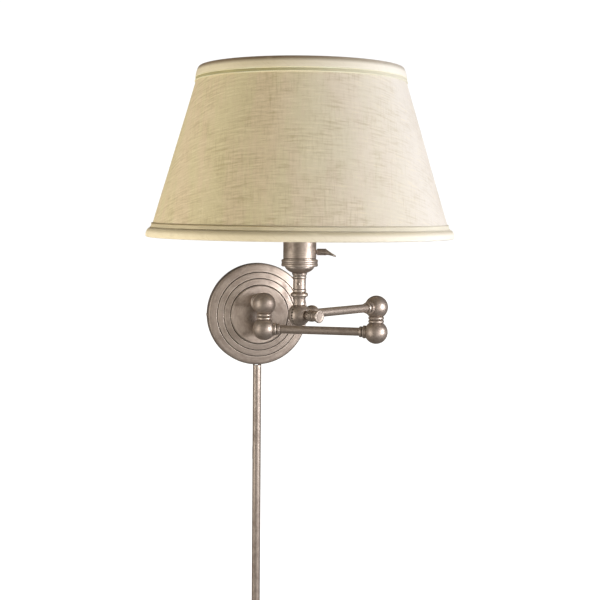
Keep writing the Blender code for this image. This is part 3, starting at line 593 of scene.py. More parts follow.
def turned_mesh(
    name, profile, place, steps=96, closed=False, spacing=0.7, reach=0.6, shape=None, flat=None
):
    """A turned solid with a UV map in (turns, metres) and groove and edge attributes.

    shape(radii, heights, angles) may move the grid of points, still in millimetres.
    flat(points, charts) may give other UVs, from the corners' places and first UVs.
    """
    outline = filled(rounded(profile, closed), closed, spacing)
    relief, travel = relief_of(outline, closed, reach)
    angles = np.arange(steps) * math.tau / steps
    radii = outline[:, 0][:, None] * np.ones(steps)
    heights = outline[:, 1][:, None] * np.ones(steps)
    if shape:
        radii, heights = shape(radii, heights, angles)
    grid = np.stack([radii * np.cos(angles), radii * np.sin(angles), heights], 2) * MM
    rows = len(outline)
    on_axis = outline[:, 0] < 1e-6
    index = np.zeros((rows, steps), int)
    places = []
    for row in range(rows):
        if on_axis[row]:
            index[row, :] = len(places)
            places.append(grid[row, 0])
        else:
            index[row, :] = len(places) + np.arange(steps)
            places.extend(grid[row])
    faces, charts = [], []
    lengths = np.append(travel, travel[-1] + np.linalg.norm(outline[0] - outline[-1])) * MM
    for row in range(rows if closed else rows - 1):
        below = (row + 1) % rows
        for column in range(steps):
            after = (column + 1) % steps
            corners = (
                (row, column, column, row),
                (below, column, column, row + 1),
                (below, after, column + 1, row + 1),
                (row, after, column + 1, row),
            )
            face = {}
            for r, c, turn, step in corners:
                face.setdefault(int(index[r, c]), (turn / steps, lengths[step]))
            if len(face) > 2:
                faces.append(list(face))
                charts.extend(face.values())
    mesh = bpy.data.meshes.new(name)
    mesh.from_pydata(places, [], faces)
    charts = np.array(charts)
    put_chart(mesh, lambda points: flat(points, charts) if flat else charts)
    values = np.concatenate(
        [[relief[row]] if on_axis[row] else np.full(steps, relief[row]) for row in range(rows)]
    )
    # Groove darkens hollows (oxide and painted shade); edge lightens convex edges (rubbed wear and a
    # painted highlight).
    put_attribute(mesh, "groove", np.clip(values * 2.6, 0.0, 1.0))
    put_attribute(mesh, "edge", np.clip(-values * 2.2 - 0.12, 0.0, 1.0))
    mesh.shade_smooth()
    mesh.transform(place)
    return mesh


def places_of(mesh):
    return np.array([vertex.co for vertex in mesh.vertices])


def put_chart(mesh, flat):
    """Fills the UV map; flat turns the places of the face corners into rows of (u, v)."""
    layer = mesh.uv_layers.get("UVMap") or mesh.uv_layers.new(name="UVMap")
    corners = np.zeros(len(mesh.loops), int)
    mesh.loops.foreach_get("vertex_index", corners)
    rows = flat(places_of(mesh)[corners])
    layer.uv.foreach_set("vector", rows.astype(np.float32).ravel())


def put_attribute(mesh, name, values):
    attribute = mesh.attributes.new(name, "FLOAT", "POINT")
    attribute.data.foreach_set("value", np.asarray(values, np.float32))


def darken(mesh, groove_patina_and_shade):
    """Deepens the groove attribute, which stands for oxide and painted shade, wherever the given values,
    one for each vertex, are stronger.
    """
    groove = mesh.attributes["groove"]
    values = np.zeros(len(mesh.vertices))
    groove.data.foreach_get("value", values)
    groove.data.foreach_set("value", np.maximum(values, groove_patina_and_shade))


def joined(mesh, *others):
    """The first mesh with the others added to it."""
    work = bmesh.new()
    for part in (mesh, *others):
        work.from_mesh(part)
    work.to_mesh(mesh)
    work.free()
    mesh.shade_smooth()
    return mesh


def show(name, mesh, material, body, slot, *nodes):
    """Puts a finished mesh in the scene, on its body and in place of its CAD nodes."""
    obj = bpy.data.objects.new(name, mesh)
    bpy.context.scene.collection.objects.link(obj)
    mesh.materials.clear()
    mesh.materials.append(finish(material))
    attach(obj, body)
    if nodes:
        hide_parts(*nodes)
    return obj


NICKEL = "antique_nickel"


def turned(name, profile, place, body, *nodes, material=NICKEL, slot=NICKEL, **kinds):
    mesh = turned_mesh(name, profile, place, **kinds)
    return show(name, mesh, material, body, slot, *nodes)


def curve_arc(radius, start, end, count=20):
    """Points (r, z) about the origin; degrees up from the r axis."""
    angles = np.radians(np.linspace(start, end, count + 1))
    return [(radius * math.cos(a), radius * math.sin(a)) for a in angles]


def cup(radius, inner, outer, count=8):
    """The hollow face of a collar that follows a ball."""
    return [(r, math.sqrt(radius**2 - r**2)) for r in np.linspace(inner, outer, count + 1)]


def bead_points(edge, bulge, low, high, count=12):
    middle, half = (low + high) / 2, (high - low) / 2
    angles = np.linspace(math.pi / 2, -math.pi / 2, count + 1)
    return [(edge + (bulge - edge) * math.cos(a), middle + half * math.sin(a)) for a in angles]


def smooth_rows(rows, steps):
    """Catmull-Rom points between rows of numbers."""
    data = np.array([rows[0], *rows, rows[-1]], float)
    out = []
    for index in range(1, len(data) - 2):
        a, b, c, d = data[index - 1 : index + 3]
        for step in range(steps):
            t = step / steps
            bend = (2 * a - 5 * b + 4 * c - d) * t**2
            twist = (3 * b - a - 3 * c + d) * t**3
            out.append(0.5 * (2 * b + (c - a) * t + bend + twist))
    out.append(data[-1])
    return out


def loft_mesh(name, rows, place):
    """A closed skin through rings of points that all have the same count."""
    work = bmesh.new()
    rings = [[work.verts.new(Vector(point) * MM) for point in row] for row in rows]
    count = len(rings[0])
    for lower, upper in zip(rings, rings[1:]):
        for side in range(count):
            after = (side + 1) % count
            work.faces.new((lower[side], lower[after], upper[after], upper[side]))
    work.faces.new(list(reversed(rings[0])))
    work.faces.new(rings[-1])
    bmesh.ops.recalc_face_normals(work, faces=work.faces)
    mesh = bpy.data.meshes.new(name)
    work.to_mesh(mesh)
    work.free()
    mesh.shade_smooth()
    mesh.transform(place)
    return mesh


# Geometry Nodes trees for what repeats


class GrowTree(NodeMaker):
    """A Geometry Nodes tree with named inputs, whose result is real geometry in one material."""

    def __init__(self, name, sizes):
        self.tree = bpy.data.node_groups.new(name, "GeometryNodeTree")
        super().__init__(self.tree)
        self.tree.is_modifier = True
        interface = self.tree.interface
        interface.new_socket("Geometry", in_out="OUTPUT", socket_type="NodeSocketGeometry")
        interface.new_socket("Material", in_out="INPUT", socket_type="NodeSocketMaterial")
        for label, (kind, value) in sizes.items():
            socket = interface.new_socket(label, in_out="INPUT", socket_type=kind)
            socket.default_value = value
        self.asked = self.node("NodeGroupInput")

    def raised(self, curve, height):
        lift = self.node("ShaderNodeCombineXYZ", None, {"Z": height})
        return self.node("GeometryNodeSetPosition", None, {"Geometry": curve, "Offset": lift})

    def finish(self, geometry):
        real = self.node("GeometryNodeRealizeInstances", None, {0: geometry})
        inputs = {"Geometry": real, "Material": self.asked.other("Material")}
        painted = self.node("GeometryNodeSetMaterial", None, inputs)
        self.feed(self.nodes.new("NodeGroupOutput").inputs[0], painted)
        return self.tree


def grown_mesh(name, tree, values, place):
    """Runs a tree with the given inputs and returns its result as a plain mesh in place."""
    host = bpy.data.objects.new(name + "_host", bpy.data.meshes.new(name + "_host"))
    bpy.context.scene.collection.objects.link(host)
    modifier = host.modifiers.new("Grow", "NODES")
    modifier.node_group = tree
    for item in tree.interface.items_tree:
        if item.in_out == "INPUT" and item.name in values:
            modifier[item.identifier] = values[item.name]
    bpy.context.view_layer.update()
    result = host.evaluated_get(bpy.context.evaluated_depsgraph_get())
    mesh = bpy.data.meshes.new_from_object(result)
    mesh.name = name
    bpy.data.objects.remove(host, do_unlink=True)
    mesh.transform(place)
    mesh.shade_smooth()
    return mesh


def piping_tree():
    """A round cord laid in a ring, with short slanting strands so that it looks twisted."""
    sizes = {
        "Radius": ("NodeSocketFloat", 0.1),
        "Height": ("NodeSocketFloat", 0.0),
        "Thickness": ("NodeSocketFloat", 0.0006),
        "Strands": ("NodeSocketInt", 300),
    }
    grow = GrowTree("twisted_piping", sizes)
    radius, height, thickness, strands = (grow.asked.other(label) for label in sizes)
    inputs = {"Resolution": strands, "Radius": radius}
    ring = grow.node("GeometryNodeCurvePrimitiveCircle", None, inputs)
    inputs = {"Curve": grow.raised(ring, height)}
    points = grow.node("GeometryNodeCurveToPoints", {"mode": "EVALUATED"}, inputs)
    inputs = {"Segments": 6, "Rings": 4, "Radius": thickness}
    strand = grow.node("GeometryNodeMeshUVSphere", None, inputs)
    long_side = radius / strands * 8.5 / thickness
    shape = grow.node("ShaderNodeCombineXYZ", None, {"X": 0.95, "Y": 0.95, "Z": long_side})
    inputs = {"Rotation": points.other("Rotation"), "Rotate By": (0.0, math.radians(11.0), 0.0)}
    slanted = grow.node("FunctionNodeRotateRotation", {"rotation_space": "LOCAL"}, inputs)
    inputs = {"Points": points, "Instance": strand, "Rotation": slanted, "Scale": shape}
    return grow.finish(grow.node("GeometryNodeInstanceOnPoints", None, inputs))


def thread_tree():
    """A screw thread: a round ridge that climbs round a cylinder."""
    sizes = {
        "Radius": ("NodeSocketFloat", 0.013),
        "Start": ("NodeSocketFloat", 0.0),
        "Pitch": ("NodeSocketFloat", 0.0036),
        "Turns": ("NodeSocketFloat", 5.0),
        "Ridge": ("NodeSocketFloat", 0.0008),
    }
    grow = GrowTree("lamp_thread", sizes)
    radius, start, pitch, turns, ridge = (grow.asked.other(label) for label in sizes)
    inputs = {
        "Resolution": 40,
        "Rotations": turns,
        "Start Radius": radius,
        "End Radius": radius,
        "Height": pitch * turns,
    }
    spiral = grow.node("GeometryNodeCurveSpiral", None, inputs)
    inputs = {"Resolution": 10, "Radius": ridge}
    section = grow.node("GeometryNodeCurvePrimitiveCircle", None, inputs)
    inputs = {"Curve": grow.raised(spiral, start), "Profile Curve": section, "Fill Caps": True}
    return grow.finish(grow.node("GeometryNodeCurveToMesh", None, inputs))


# Wall plate, stub and cord cover


def plate_profile(radius):
    lands = [(32.6, 17.2), (39.8, 15.2), (46.8, 13.3)]
    outer = [(0.0, 18.2), (20.0, 18.1), (31.6, 17.75, 0.6)]
    for land, height in lands:
        outer += [
            (land, height, 0.35),
            (land + 0.25, height - 1.25, 0.15),
            (land + 0.75, height - 1.25, 0.15),
            (land + 1.15, height - 0.85, 0.35),
        ]
    outer += [(54.2, 11.3), (55.6, 10.9, 0.8), (56.7, 10.2, 0.8), (radius, 9.0, 0.8), (radius, 0.3, 0.2)]
    inner = radius - 1.2
    under = [(inner, 0.3, 0.2), (inner, 8.7), (55.2, 9.6), (46.6, 11.0), (32.0, 15.6), (0.0, 16.9)]
    return outer + under


def build_plate(sizes):
    wall = facing((0.0, 0.0, 0.0), OUT, UP)
    radius = sizes.plate_radius / MM
    plate = turned("plate_dish", plate_profile(radius), wall, "wall_bracket", "backplate", steps=180)
    paint_stub_shadow_and_side_shade(plate, radius)
    screws = (("rim_screw_l", "rim_screw_left", -1), ("rim_screw_r", "rim_screw_right", 1))
    for name, node, side in screws:
        place = facing((side * radius * MM, -0.0046, 0.0), (side, 0.0, 0.0), UP)
        build_slotted_screw(name, place, "wall_bracket", node, 2.6, 0.9, 0.25)
    stub = facing((0.0, HINGE.y, RISE * MM), -OUT, UP)
    profile = cup(sizes.ball_radius / MM + SEAT_GAP, 5.1, 9.8) + [
        (11.0, 9.0, 0.4), (11.3, 9.3, 0.3), (11.3, 10.3, 0.4), (10.5, 10.9, 0.2),
        (10.1, 11.6, 0.3), (10.5, 12.2, 0.2), (10.5, 13.8, 0.5), (9.5, 14.9, 0.6),
        (9.0, 16.8, 1.2), (9.5, 18.3, 0.8), (10.7, 19.2, 0.4), (10.7, 19.75), (5.1, 19.75),
    ]
    profile.reverse()
    turned("stub_collar", profile, stub, "wall_bracket", "wall_stub_collar", closed=True)
    grommet = [
        (2.3, 2.3), (3.9, 2.3, 0.5), (3.9, 1.1, 0.2), (3.1, 1.1), (3.1, -0.5, 0.2), (2.3, -0.5, 0.3),
    ]
    low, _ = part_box("cord_grommet")
    place = Matrix.Translation((0.0, -0.0044, low.z + 0.0005))
    ring_kind = {"steps": 40, "closed": True, "material": "rubber", "slot": "black_rubber"}
    turned("cord_bushing", grommet, place, "wall_bracket", "cord_grommet", **ring_kind)


def paint_stub_shadow_and_side_shade(plate, radius):
    """Painted shadow of the hinge balls round the stub, and painted shade along the plate's side."""
    places = places_of(plate.data) / MM
    away = np.hypot(places[:, 0], places[:, 2])
    front = places[:, 1] < -6.0
    # Painted shadow: a ring darkened round the stub on the plate's face.
    centre = np.clip((23.0 - away) / 12.0, 0.0, 1.0) ** 1.5 * 0.34 * front
    # Painted shade: a dark line along the plate's side.
    side = np.clip((away - (radius - 1.0)) / 0.7, 0.0, 1.0) * 0.55
    darken(plate.data, np.maximum(centre, side))


def build_slotted_screw(name, place, body, node, radius, height, shank):
    """A cheese-head screw: a turned head with a slot sunk across it."""
    half = 0.32

    def slot(radii, heights, angles):
        across = np.abs(radii * np.sin(angles))
        sunk = (across < half + 0.12) & (heights > height * 0.5)
        return radii, np.where(sunk, heights - 0.55 * (across < half), heights)

    profile = [
        (0.0, height),
        (radius * 0.72, height, 0.5),
        (radius, height * 0.45, 0.3),
        (radius, shank, 0.1),
        (radius * 0.55, shank),
        (radius * 0.55, shank - 2.0),
        (0.0, shank - 2.0),
    ]
    return turned(name, profile, place, body, node, steps=64, spacing=0.16, reach=0.25, shape=slot)


def build_cover():
    """The slotted tube that hides the cord, with its end bush."""
    outer, inner, half_slot = 4.75, 4.05, 2.2
    gap = math.asin(half_slot / outer)
    sweep = np.linspace(math.pi / 2 + gap, math.pi / 2 + math.tau - gap, 41)
    section = [(outer * math.cos(a), outer * math.sin(a)) for a in sweep]
    section += [(inner * math.cos(a), inner * math.sin(a)) for a in reversed(sweep)]
    low, high = COVER_LOW.z / MM, COVER_HIGH.z / MM
    heights = [low, low + 0.15, *np.linspace(low + 2.0, high - 2.0, 60), high - 0.15, high]
    rows = []
    for height in heights:
        scale = 1 - 0.12 / outer if height in (low, high) else 1.0
        rows.append([(x * scale, y * scale, height) for x, y in section])
    axis = Vector((0.0, -0.00535, 0.0))
    mesh = loft_mesh("cover_tube", rows, Matrix.Translation(axis))

    def unrolled(points):
        turn = np.arctan2(points[:, 0], axis.y - points[:, 1]) / math.tau
        return np.stack([turn, points[:, 2]], 1)

    put_chart(mesh, unrolled)
    show("cover_tube", mesh, NICKEL, "wall_bracket", NICKEL, "cord_cover")
    bush = [
        (2.6, 6.0, 0.3), (3.7, 6.0, 0.5), (3.7, -0.3, 0.2), (4.75, -0.3, 0.3), (4.75, -1.6, 0.5),
        (4.2, -2.0, 0.4), (2.6, -2.0, 0.5),
    ]
    place = Matrix.Translation(axis + UP * COVER_LOW.z)
    ring_kind = {"steps": 48, "closed": True, "material": "rubber", "slot": "black_rubber"}
    turned("cover_bush", bush, place, "wall_bracket", "cover_end_bush", **ring_kind)


# Hinge balls, rings and arms


BALL_FLAT = 8.0  # radius of the flat where a ball meets its bead, in millimetres


def ball_profile(radius):
    depth = math.sqrt(radius**2 - BALL_FLAT**2)
    shell = curve_arc(radius, 90.0, -math.degrees(math.atan2(depth, BALL_FLAT)) + 1.5, 44)
    return shell + [(BALL_FLAT - 0.25, -depth, 0.2), (3.9, -depth, 0.2), (3.9, 2.0), (0.0, 2.0)]


def build_hinges(sizes):
    radius = sizes.ball_radius / MM
    profile = ball_profile(radius)
    neck = RISE - math.sqrt(radius**2 - BALL_FLAT**2)
    ring = [(3.9, neck - 0.3)] + bead_points(7.2, 8.55, 0.15, neck - 0.3) + [(3.9, 0.15)]
    sets = (
        ("wall", HINGE, "wall_bracket", "lower_arm"),
        ("elbow", ELBOW, "upper_arm", "lower_arm"),
    )
    for label, origin, upper_body, lower_body in sets:
        for half, side, body in (("upper", 1, upper_body), ("lower", -1, lower_body)):
            stem = f"{label}_{half}"
            place = facing((origin.x, origin.y, side * RISE * MM), UP * side, LOWER_ALONG)
            turned(f"{stem}_knob", profile, place, body, f"{stem}_ball", spacing=0.9)
            place = facing((origin.x, origin.y, 0.0), UP * side, LOWER_ALONG)
            turned(f"{stem}_bead", ring, place, body, f"{stem}_ring", closed=True, spacing=0.4)


def collar_profile(ball):
    seat = cup(ball + SEAT_GAP, 4.8, 6.6)
    rim = seat[-1][1]
    outer = [
        (6.95, rim + 0.25, 0.2), (7.05, rim + 0.8, 0.3), (7.05, 13.7, 0.4), (6.5, 14.35, 0.3),
        (5.25, 14.6, 0.15), (5.25, 15.15, 0.15), (5.9, 15.4, 0.25), (6.05, 16.6, 0.7),
        (5.8, 17.9, 0.4), (5.2, 18.3, 0.3), (4.8, 18.3),
    ]
    return list(reversed(seat + outer))


def knuckle_collar_profile(radius):
    seat = cup(radius + SEAT_GAP, 4.8, 6.6)
    rim = seat[-1][1]
    outer = [
        (7.0, rim + 0.25, 0.2), (7.15, rim + 0.9, 0.3),
        (6.9, 12.6, 0.8), (7.3, 14.6, 1.2), (8.2, 16.8, 1.5), (8.5, 19.2, 2.0), (8.1, 21.6, 1.5),
        (6.9, 23.6, 1.0), (5.5, 24.3, 0.2), (5.5, 24.7, 0.1), (5.9, 25.0, 0.2), (5.8, 25.6, 0.3),
        (5.2, 26.0, 0.2), (4.8, 26.0),
    ]
    return list(reversed(seat + outer))


def build_arms(sizes):
    """Both tubes, and the collars that join them to the balls and the knuckle."""
    tube = sizes.tube_radius / MM
    rise = UP * (RISE * MM)
    lower_start, lower_end, upper_start = HINGE - rise, ELBOW - rise, ELBOW + rise
    plain = collar_profile(sizes.ball_radius / MM)
    bulged = knuckle_collar_profile(sizes.knuckle_radius / MM)
    for name, node, origin, direction, profile in (
        ("lower_wall_collar", "lower_arm_wall_collar", lower_start, LOWER_ALONG, plain),
        ("lower_elbow_collar", "lower_arm_elbow_collar", lower_end, -LOWER_ALONG, plain),
        ("upper_elbow_collar", "upper_arm_elbow_collar", upper_start, UPPER_ALONG, plain),
        ("upper_knuckle_collar", "upper_arm_knuckle_collar", TILT, -UPPER_ALONG, bulged),
    ):
        body = name.split("_")[0] + "_arm"
        turned(name, profile, facing(origin, direction), body, node, closed=True, spacing=0.5)
    inset, knuckle_inset = 7.5, 11.9  # from a ball's and the knuckle's centre to the tube's end
    for body, origin, direction, end in (
        ("lower_arm", lower_start, LOWER_ALONG, ARM_LENGTH - inset),
        ("upper_arm", upper_start, UPPER_ALONG, ARM_LENGTH - knuckle_inset),
    ):
        name = body.replace("arm", "tube")
        profile = [(3.5, end), (tube, end, 0.2), (tube, inset, 0.2), (3.5, inset)]
        kinds = {"closed": True, "steps": 72, "spacing": 2.5}
        turned(name, profile, facing(origin, direction), body, body + "_tube", **kinds)


# Tilt knuckle, knob and neck


def build_knuckle(sizes):
    radius = sizes.knuckle_radius / MM
    teeth, tooth_depth = sizes.teeth, 1.25
    pole = math.degrees(math.acos(5.2 / radius))
    seam = math.degrees(math.asin(0.25 / radius))

    def notch(radii, heights, angles):
        phase = np.mod(angles * teeth / math.tau, 1.0)
        between_teeth = (phase > 0.30) & (phase < 0.70)
        near_rim = (heights < 1.05) & (radii > radius - 1.6)
        return np.where(near_rim & between_teeth, radii - tooth_depth, radii), heights

    shell = curve_arc(radius, pole, math.degrees(math.asin(1.12 / radius)), 26)
    rim = curve_arc(radius, math.degrees(math.asin(1.02 / radius)), seam, 4)
    front = [(2.4, radius - 1.3)] + shell + rim + [(9.0, 0.25), (2.4, 0.25)]
    rear = [(0.0, radius - 1.3)] + shell + rim + [(9.0, 0.25), (2.3, 0.25), (2.3, 8.4), (0.0, 8.4)]
    kinds = {"steps": teeth * 12, "spacing": 1.2, "shape": notch}
    for name, node, body, side, profile, closed in (
        ("knuckle_front", "knuckle_front_half", "head", 1, front, True),
        ("knuckle_rear", "knuckle_rear_half", "upper_arm", -1, rear, False),
    ):
        place = facing(TILT, TILT_AXIS * side, UP)
        piece = turned(name, profile, place, body, node, closed=closed, **kinds)
        darken_teeth(piece.data, radius)


def from_tilt(mesh):
    """Each vertex's place from the tilt knuckle: along its axis, out from the axis, and in all."""
    away = (places_of(mesh) - np.array(TILT)) / MM
    along = away @ np.array(TILT_AXIS)
    out = np.linalg.norm(away - along[:, None] * np.array(TILT_AXIS), axis=1)
    return along, out, np.linalg.norm(away, axis=1)


def darken_teeth(mesh, radius):
    """Oxide and painted shade fill the notches round the seam, and the domes stay clean."""
    along, _, reach = from_tilt(mesh)
    beside = np.abs(along)
    sunk = (beside < 1.15) & (reach < radius - 0.4)
    values = np.where(sunk, 1.0, np.maximum(0.0, 0.5 - beside * 0.35))
    mesh.attributes["groove"].data.foreach_set("value", values)


HUB_RADIUS = 5.6
HUB_PITS = 12
PIT_ROWS = ((14.9, 0.0), (16.5, 0.5))  # distance out, and how far round as part of a pit


def build_knob():
    """The clamp knob: a pitted hub, a waist and a flared round head with a faintly dished face."""
    place = facing(TILT, TILT_AXIS, UP)
    profile = [
        (0.0, 27.35), (3.5, 27.4), (5.3, 27.6, 0.5), (5.9, 27.55, 0.3), (6.5, 27.1, 0.4),
        (6.6, 26.2, 0.6), (6.3, 25.2, 0.8), (5.5, 23.2, 1.5), (5.1, 21.2, 1.5), (5.1, 19.6, 0.6),
        (5.6, 18.8, 0.4), (5.6, 18.3, 0.2), (5.2, 18.0, 0.15), (5.2, 17.7, 0.15),
        (5.6, 17.4, 0.2), (5.6, 14.0, 0.5), (4.4, 13.3, 0.3), (3.6, 10.4, 0.2), (2.3, 10.4),
        (2.3, 20.0), (0.0, 20.0),
    ]

    def pitted(radii, heights, angles):
        """Two rows of round dimples round the hub, which give the fingers a grip."""
        depth = np.zeros_like(radii)
        for row, start in PIT_ROWS:
            phase = np.mod(angles * HUB_PITS / math.tau + start, 1.0) - 0.5
            away = np.hypot(phase * math.tau / HUB_PITS * HUB_RADIUS, heights - row)
            depth = np.maximum(depth, np.clip(1.0 - (away / 0.75) ** 2, 0.0, 1.0))
        return radii - 0.45 * depth * (radii > 5.0), heights

    kinds = {"spacing": 0.3, "steps": 144, "shape": pitted}
    piece = turned("knob_turned", profile, place, "clamp_knob", "tilt_knob", **kinds)
    # The dimples round the hub darken, with oxide and painted shade.
    along, out, _ = from_tilt(piece.data)
    on_hub = (along > 14.0) & (along < 17.4) & (out > 5.0)
    darken(piece.data, np.minimum(1.0, (HUB_RADIUS - out) / 0.3) * on_hub)


def build_neck(sizes):
    seat = cup(sizes.knuckle_radius / MM + SEAT_GAP, 4.3, 6.1, 5)
    lower = [
        (4.3, 17.5), (6.6, 17.5, 0.3), (6.5, 16.9, 0.3), (6.1, 16.3, 0.3), (5.9, 13.2, 1.0),
        (6.1, seat[-1][1] + 0.4, 0.3),
    ] + list(reversed(seat))
    turned("neck_foot", lower, HEAD, "head", "neck_lower_sleeve", closed=True, spacing=0.5)
    bead = [(4.3, 22.3)] + bead_points(6.6, 8.8, 17.8, 22.3) + [(4.3, 17.8)]
    turned("neck_ball_bead", bead, HEAD, "head", "neck_bead", closed=True, spacing=0.4)
    upper = [
        (4.3, 38.4), (6.9, 38.4, 0.4), (6.9, 36.9, 0.3), (6.4, 36.4, 0.3), (6.35, 25.6, 0.3),
        (6.95, 25.0, 0.4), (6.95, 23.6, 0.5), (6.5, 22.6, 0.3), (4.3, 22.6),
    ]
    turned("neck_tube", upper, HEAD, "head", "neck_upper_sleeve", closed=True, spacing=0.5)
    low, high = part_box("neck_set_screw")
    middle = (low + high) / 2
    outward = Vector((middle.x - TILT.x, middle.y - TILT.y, 0.0)).normalized()
    origin = Vector((TILT.x, TILT.y, middle.z)) + outward * 0.0065
    grub = [
        (0.0, -0.5), (0.85, -0.5, 0.1), (0.95, 0.55, 0.1), (1.5, 0.6, 0.2), (1.9, 0.25, 0.2),
        (1.9, -1.8, 0.1), (0.0, -1.8),
    ]
    place = facing(origin, outward, UP)
    turned("grub_screw", grub, place, "head", "neck_set_screw", steps=48, spacing=0.2, reach=0.4)


# Socket, key and bulb


def build_socket():
    cup_profile = [
        (13.9, 48.0), (14.6, 48.0, 0.2), (14.5, 47.2, 0.5), (13.6, 45.8, 2.0), (11.6, 44.0, 3.0),
        (8.9, 42.5, 1.5), (7.3, 41.9, 0.3), (7.5, 41.2, 0.4), (7.5, 40.5, 0.4), (6.9, 39.9, 0.2),
        (6.7, 38.9, 0.3), (4.3, 38.7), (4.3, 42.6), (8.0, 43.4), (10.8, 45.0), (12.8, 46.6),
    ]
    turned("cup_turned", cup_profile, HEAD, "head", "socket_cup", closed=True, spacing=0.5)
    band = [
        (17.3, 55.0), (17.7, 55.0, 0.15), (18.15, 54.5, 0.3), (18.2, 53.2, 0.5),
        (17.9, 52.6, 0.3), (17.9, 51.0, 0.3), (18.2, 50.4, 0.5), (18.15, 48.9, 0.4),
        (17.6, 48.3, 0.4), (12.0, 48.3), (12.0, 49.2), (17.3, 49.2),
    ]
    turned("band_turned", band, HEAD, "head", "socket_band", closed=True, spacing=0.4, steps=120)
    shell = [
        (15.9, 98.0), (16.4, 98.0, 0.2), (17.0, 96.5, 0.5), (17.0, 78.5, 0.3), (19.6, 78.2, 0.3),
        (19.6, 77.2, 0.3), (16.4, 76.4, 0.4), (16.4, 57.0, 0.2), (16.2, 56.6, 0.2),
        (16.2, 56.2, 0.2), (16.4, 55.8, 0.2), (16.4, 49.6, 0.2), (15.9, 49.6),
    ]
    turned("shell_turned", shell, HEAD, "head", "socket_shell", closed=True, spacing=0.6, steps=120)
    nut = [
        (17.4, 85.4), (19.4, 85.4, 0.3), (20.4, 84.5, 0.4), (20.4, 83.3, 0.2), (20.1, 83.0, 0.1),
        (20.4, 82.7, 0.2), (20.4, 80.4, 0.3), (17.4, 80.4),
    ]
    turned("ring_nut_turned", nut, HEAD, "head", "shade_ring_nut", closed=True, spacing=0.4)


def build_key():
    """The turn key: shaft, barrel and a thumb blade that droops as it leaves the barrel."""
    place = facing(KEY, KEY_AXIS, UP)
    barrel = [
        (0.0, 27.0), (2.2, 26.9, 0.5), (3.1, 26.5, 0.5), (3.3, 25.8, 0.3), (3.3, 17.6, 0.3),
        (2.9, 17.0, 0.2), (2.0, 17.0, 0.1), (2.0, 7.4, 0.2), (0.0, 7.4),
    ]
    piece = turned_mesh("key_barrel", barrel, place, steps=64, spacing=0.5)
    sections = [
        (24.6, 0.0, 1.6, 1.9), (25.6, -0.1, 2.8, 2.7), (27.4, -0.5, 3.7, 2.5),
        (29.0, -1.1, 4.4, 2.0), (31.0, -2.0, 4.8, 1.5), (33.2, -3.0, 4.6, 1.1),
        (34.8, -3.7, 3.6, 0.9), (35.6, -4.0, 2.4, 0.7), (36.0, -4.15, 1.0, 0.35),
    ]
    angles = [math.tau * side / 40 for side in range(40)]
    across = [math.copysign(abs(math.cos(a)) ** 0.8, math.cos(a)) for a in angles]
    rows = [
        [(drop + thick * math.sin(a), width * x, away) for a, x in zip(angles, across)]
        for away, drop, width, thick in smooth_rows(sections, 5)
    ]
    blade = loft_mesh("key_blade", rows, place)
    put_chart(blade, lambda points: points[:, [0, 2]])
    # The whole blade gets a little of the edge lightening: rubbing, and a painted highlight.
    put_attribute(blade, "edge", np.full(len(blade.vertices), 0.15))
    joined(piece, blade)
    show("key_turned", piece, NICKEL, "switch", NICKEL, "switch_key")


def build_bulb():
    globe = [
        (0.0, 182.0), (8.0, 180.9), (16.0, 177.3), (23.0, 171.0), (27.8, 162.6), (29.8, 152.6),
        (29.2, 142.5), (26.2, 132.6), (21.6, 123.6), (17.2, 115.0), (14.2, 106.5), (12.9, 99.4),
    ]
    outer = [tuple(row) for row in smooth_rows(globe, 5)]
    inner = [(max(r - 1.0, 0.0), z - 1.0 if z > 160.0 else z) for r, z in reversed(outer)]
    kinds = {"material": "glass", "slot": "soft_white_glass", "spacing": 4.0}
    turned("bulb_globe", outer + inner, HEAD, "head", "bulb_glass", **kinds)
    cap = [
        (0.0, 75.2), (8.6, 76.4), (11.8, 79.5), (11.8, 99.0), (13.0, 99.0, 0.3),
        (13.0, 96.6, 0.4), (12.5, 95.6, 0.3), (12.5, 77.0, 0.6), (9.0, 75.0, 0.5),
        (5.0, 74.0, 0.4), (4.2, 73.4, 0.3), (0.0, 73.4),
    ]
    kinds = {"material": "brass", "slot": "brass", "spacing": 1.0}
    turned("bulb_base", cap, HEAD, "head", "bulb_cap", **kinds)
    values = {
        "Radius": 12.45 * MM,
        "Start": 78.5 * MM,
        "Pitch": 3.6 * MM,
        "Turns": 4.5,
        "Ridge": 0.62 * MM,
        "Material": finish("brass"),
    }
    mesh = grown_mesh("bulb_thread", thread_tree(), values, HEAD)
    show("bulb_thread", mesh, "brass", "head", "brass")


# Shade


def cloth_radius(sizes, height):
    """The cloth's radius in millimetres at a height above the tilt knuckle."""
    base, tall = sizes.shade_base / MM, sizes.shade_height / MM
    bottom, top = sizes.shade_base_radius / MM, sizes.shade_top_radius / MM
    return bottom - (height - base) * (bottom - top) / tall


def front_turn():
    """The head-frame angle that faces away from the wall, towards the viewer."""
    toward = CAMERA_PLACE - TILT
    local = HEAD.inverted().to_3x3() @ toward
    return math.atan2(local.y, local.x)


def put_painted_light(mesh):
    """Marks the painted lit side of a shade piece, by the turn from its front in radians."""
    into = HEAD.inverted()
    places = np.array([into @ vertex.co for vertex in mesh.vertices])
    turn = (np.arctan2(places[:, 1], places[:, 0]) - front_turn() + math.pi) % math.tau - math.pi
    rise = np.clip((turn + 0.25) / 1.24, 0.0, 1.0)
    fall = np.clip((2.9 - turn) / 1.4, 0.0, 1.0)
    put_attribute(mesh, "sun", rise * fall)


def cut_pattern(sizes):
    """A function that lays the cone out flat, as the cloth was cut, with its seam at the back."""
    slope = (sizes.shade_base_radius - sizes.shade_top_radius) / sizes.shade_height
    sine = slope / math.hypot(1.0, slope)

    def flat(points, charts):
        radius = np.hypot(points[:, 0], points[:, 1])
        turn = charts[:, 0] * math.tau - math.pi
        reach = radius / sine
        return np.stack([reach * np.sin(turn * sine), -reach * np.cos(turn * sine)], 1)

    return flat


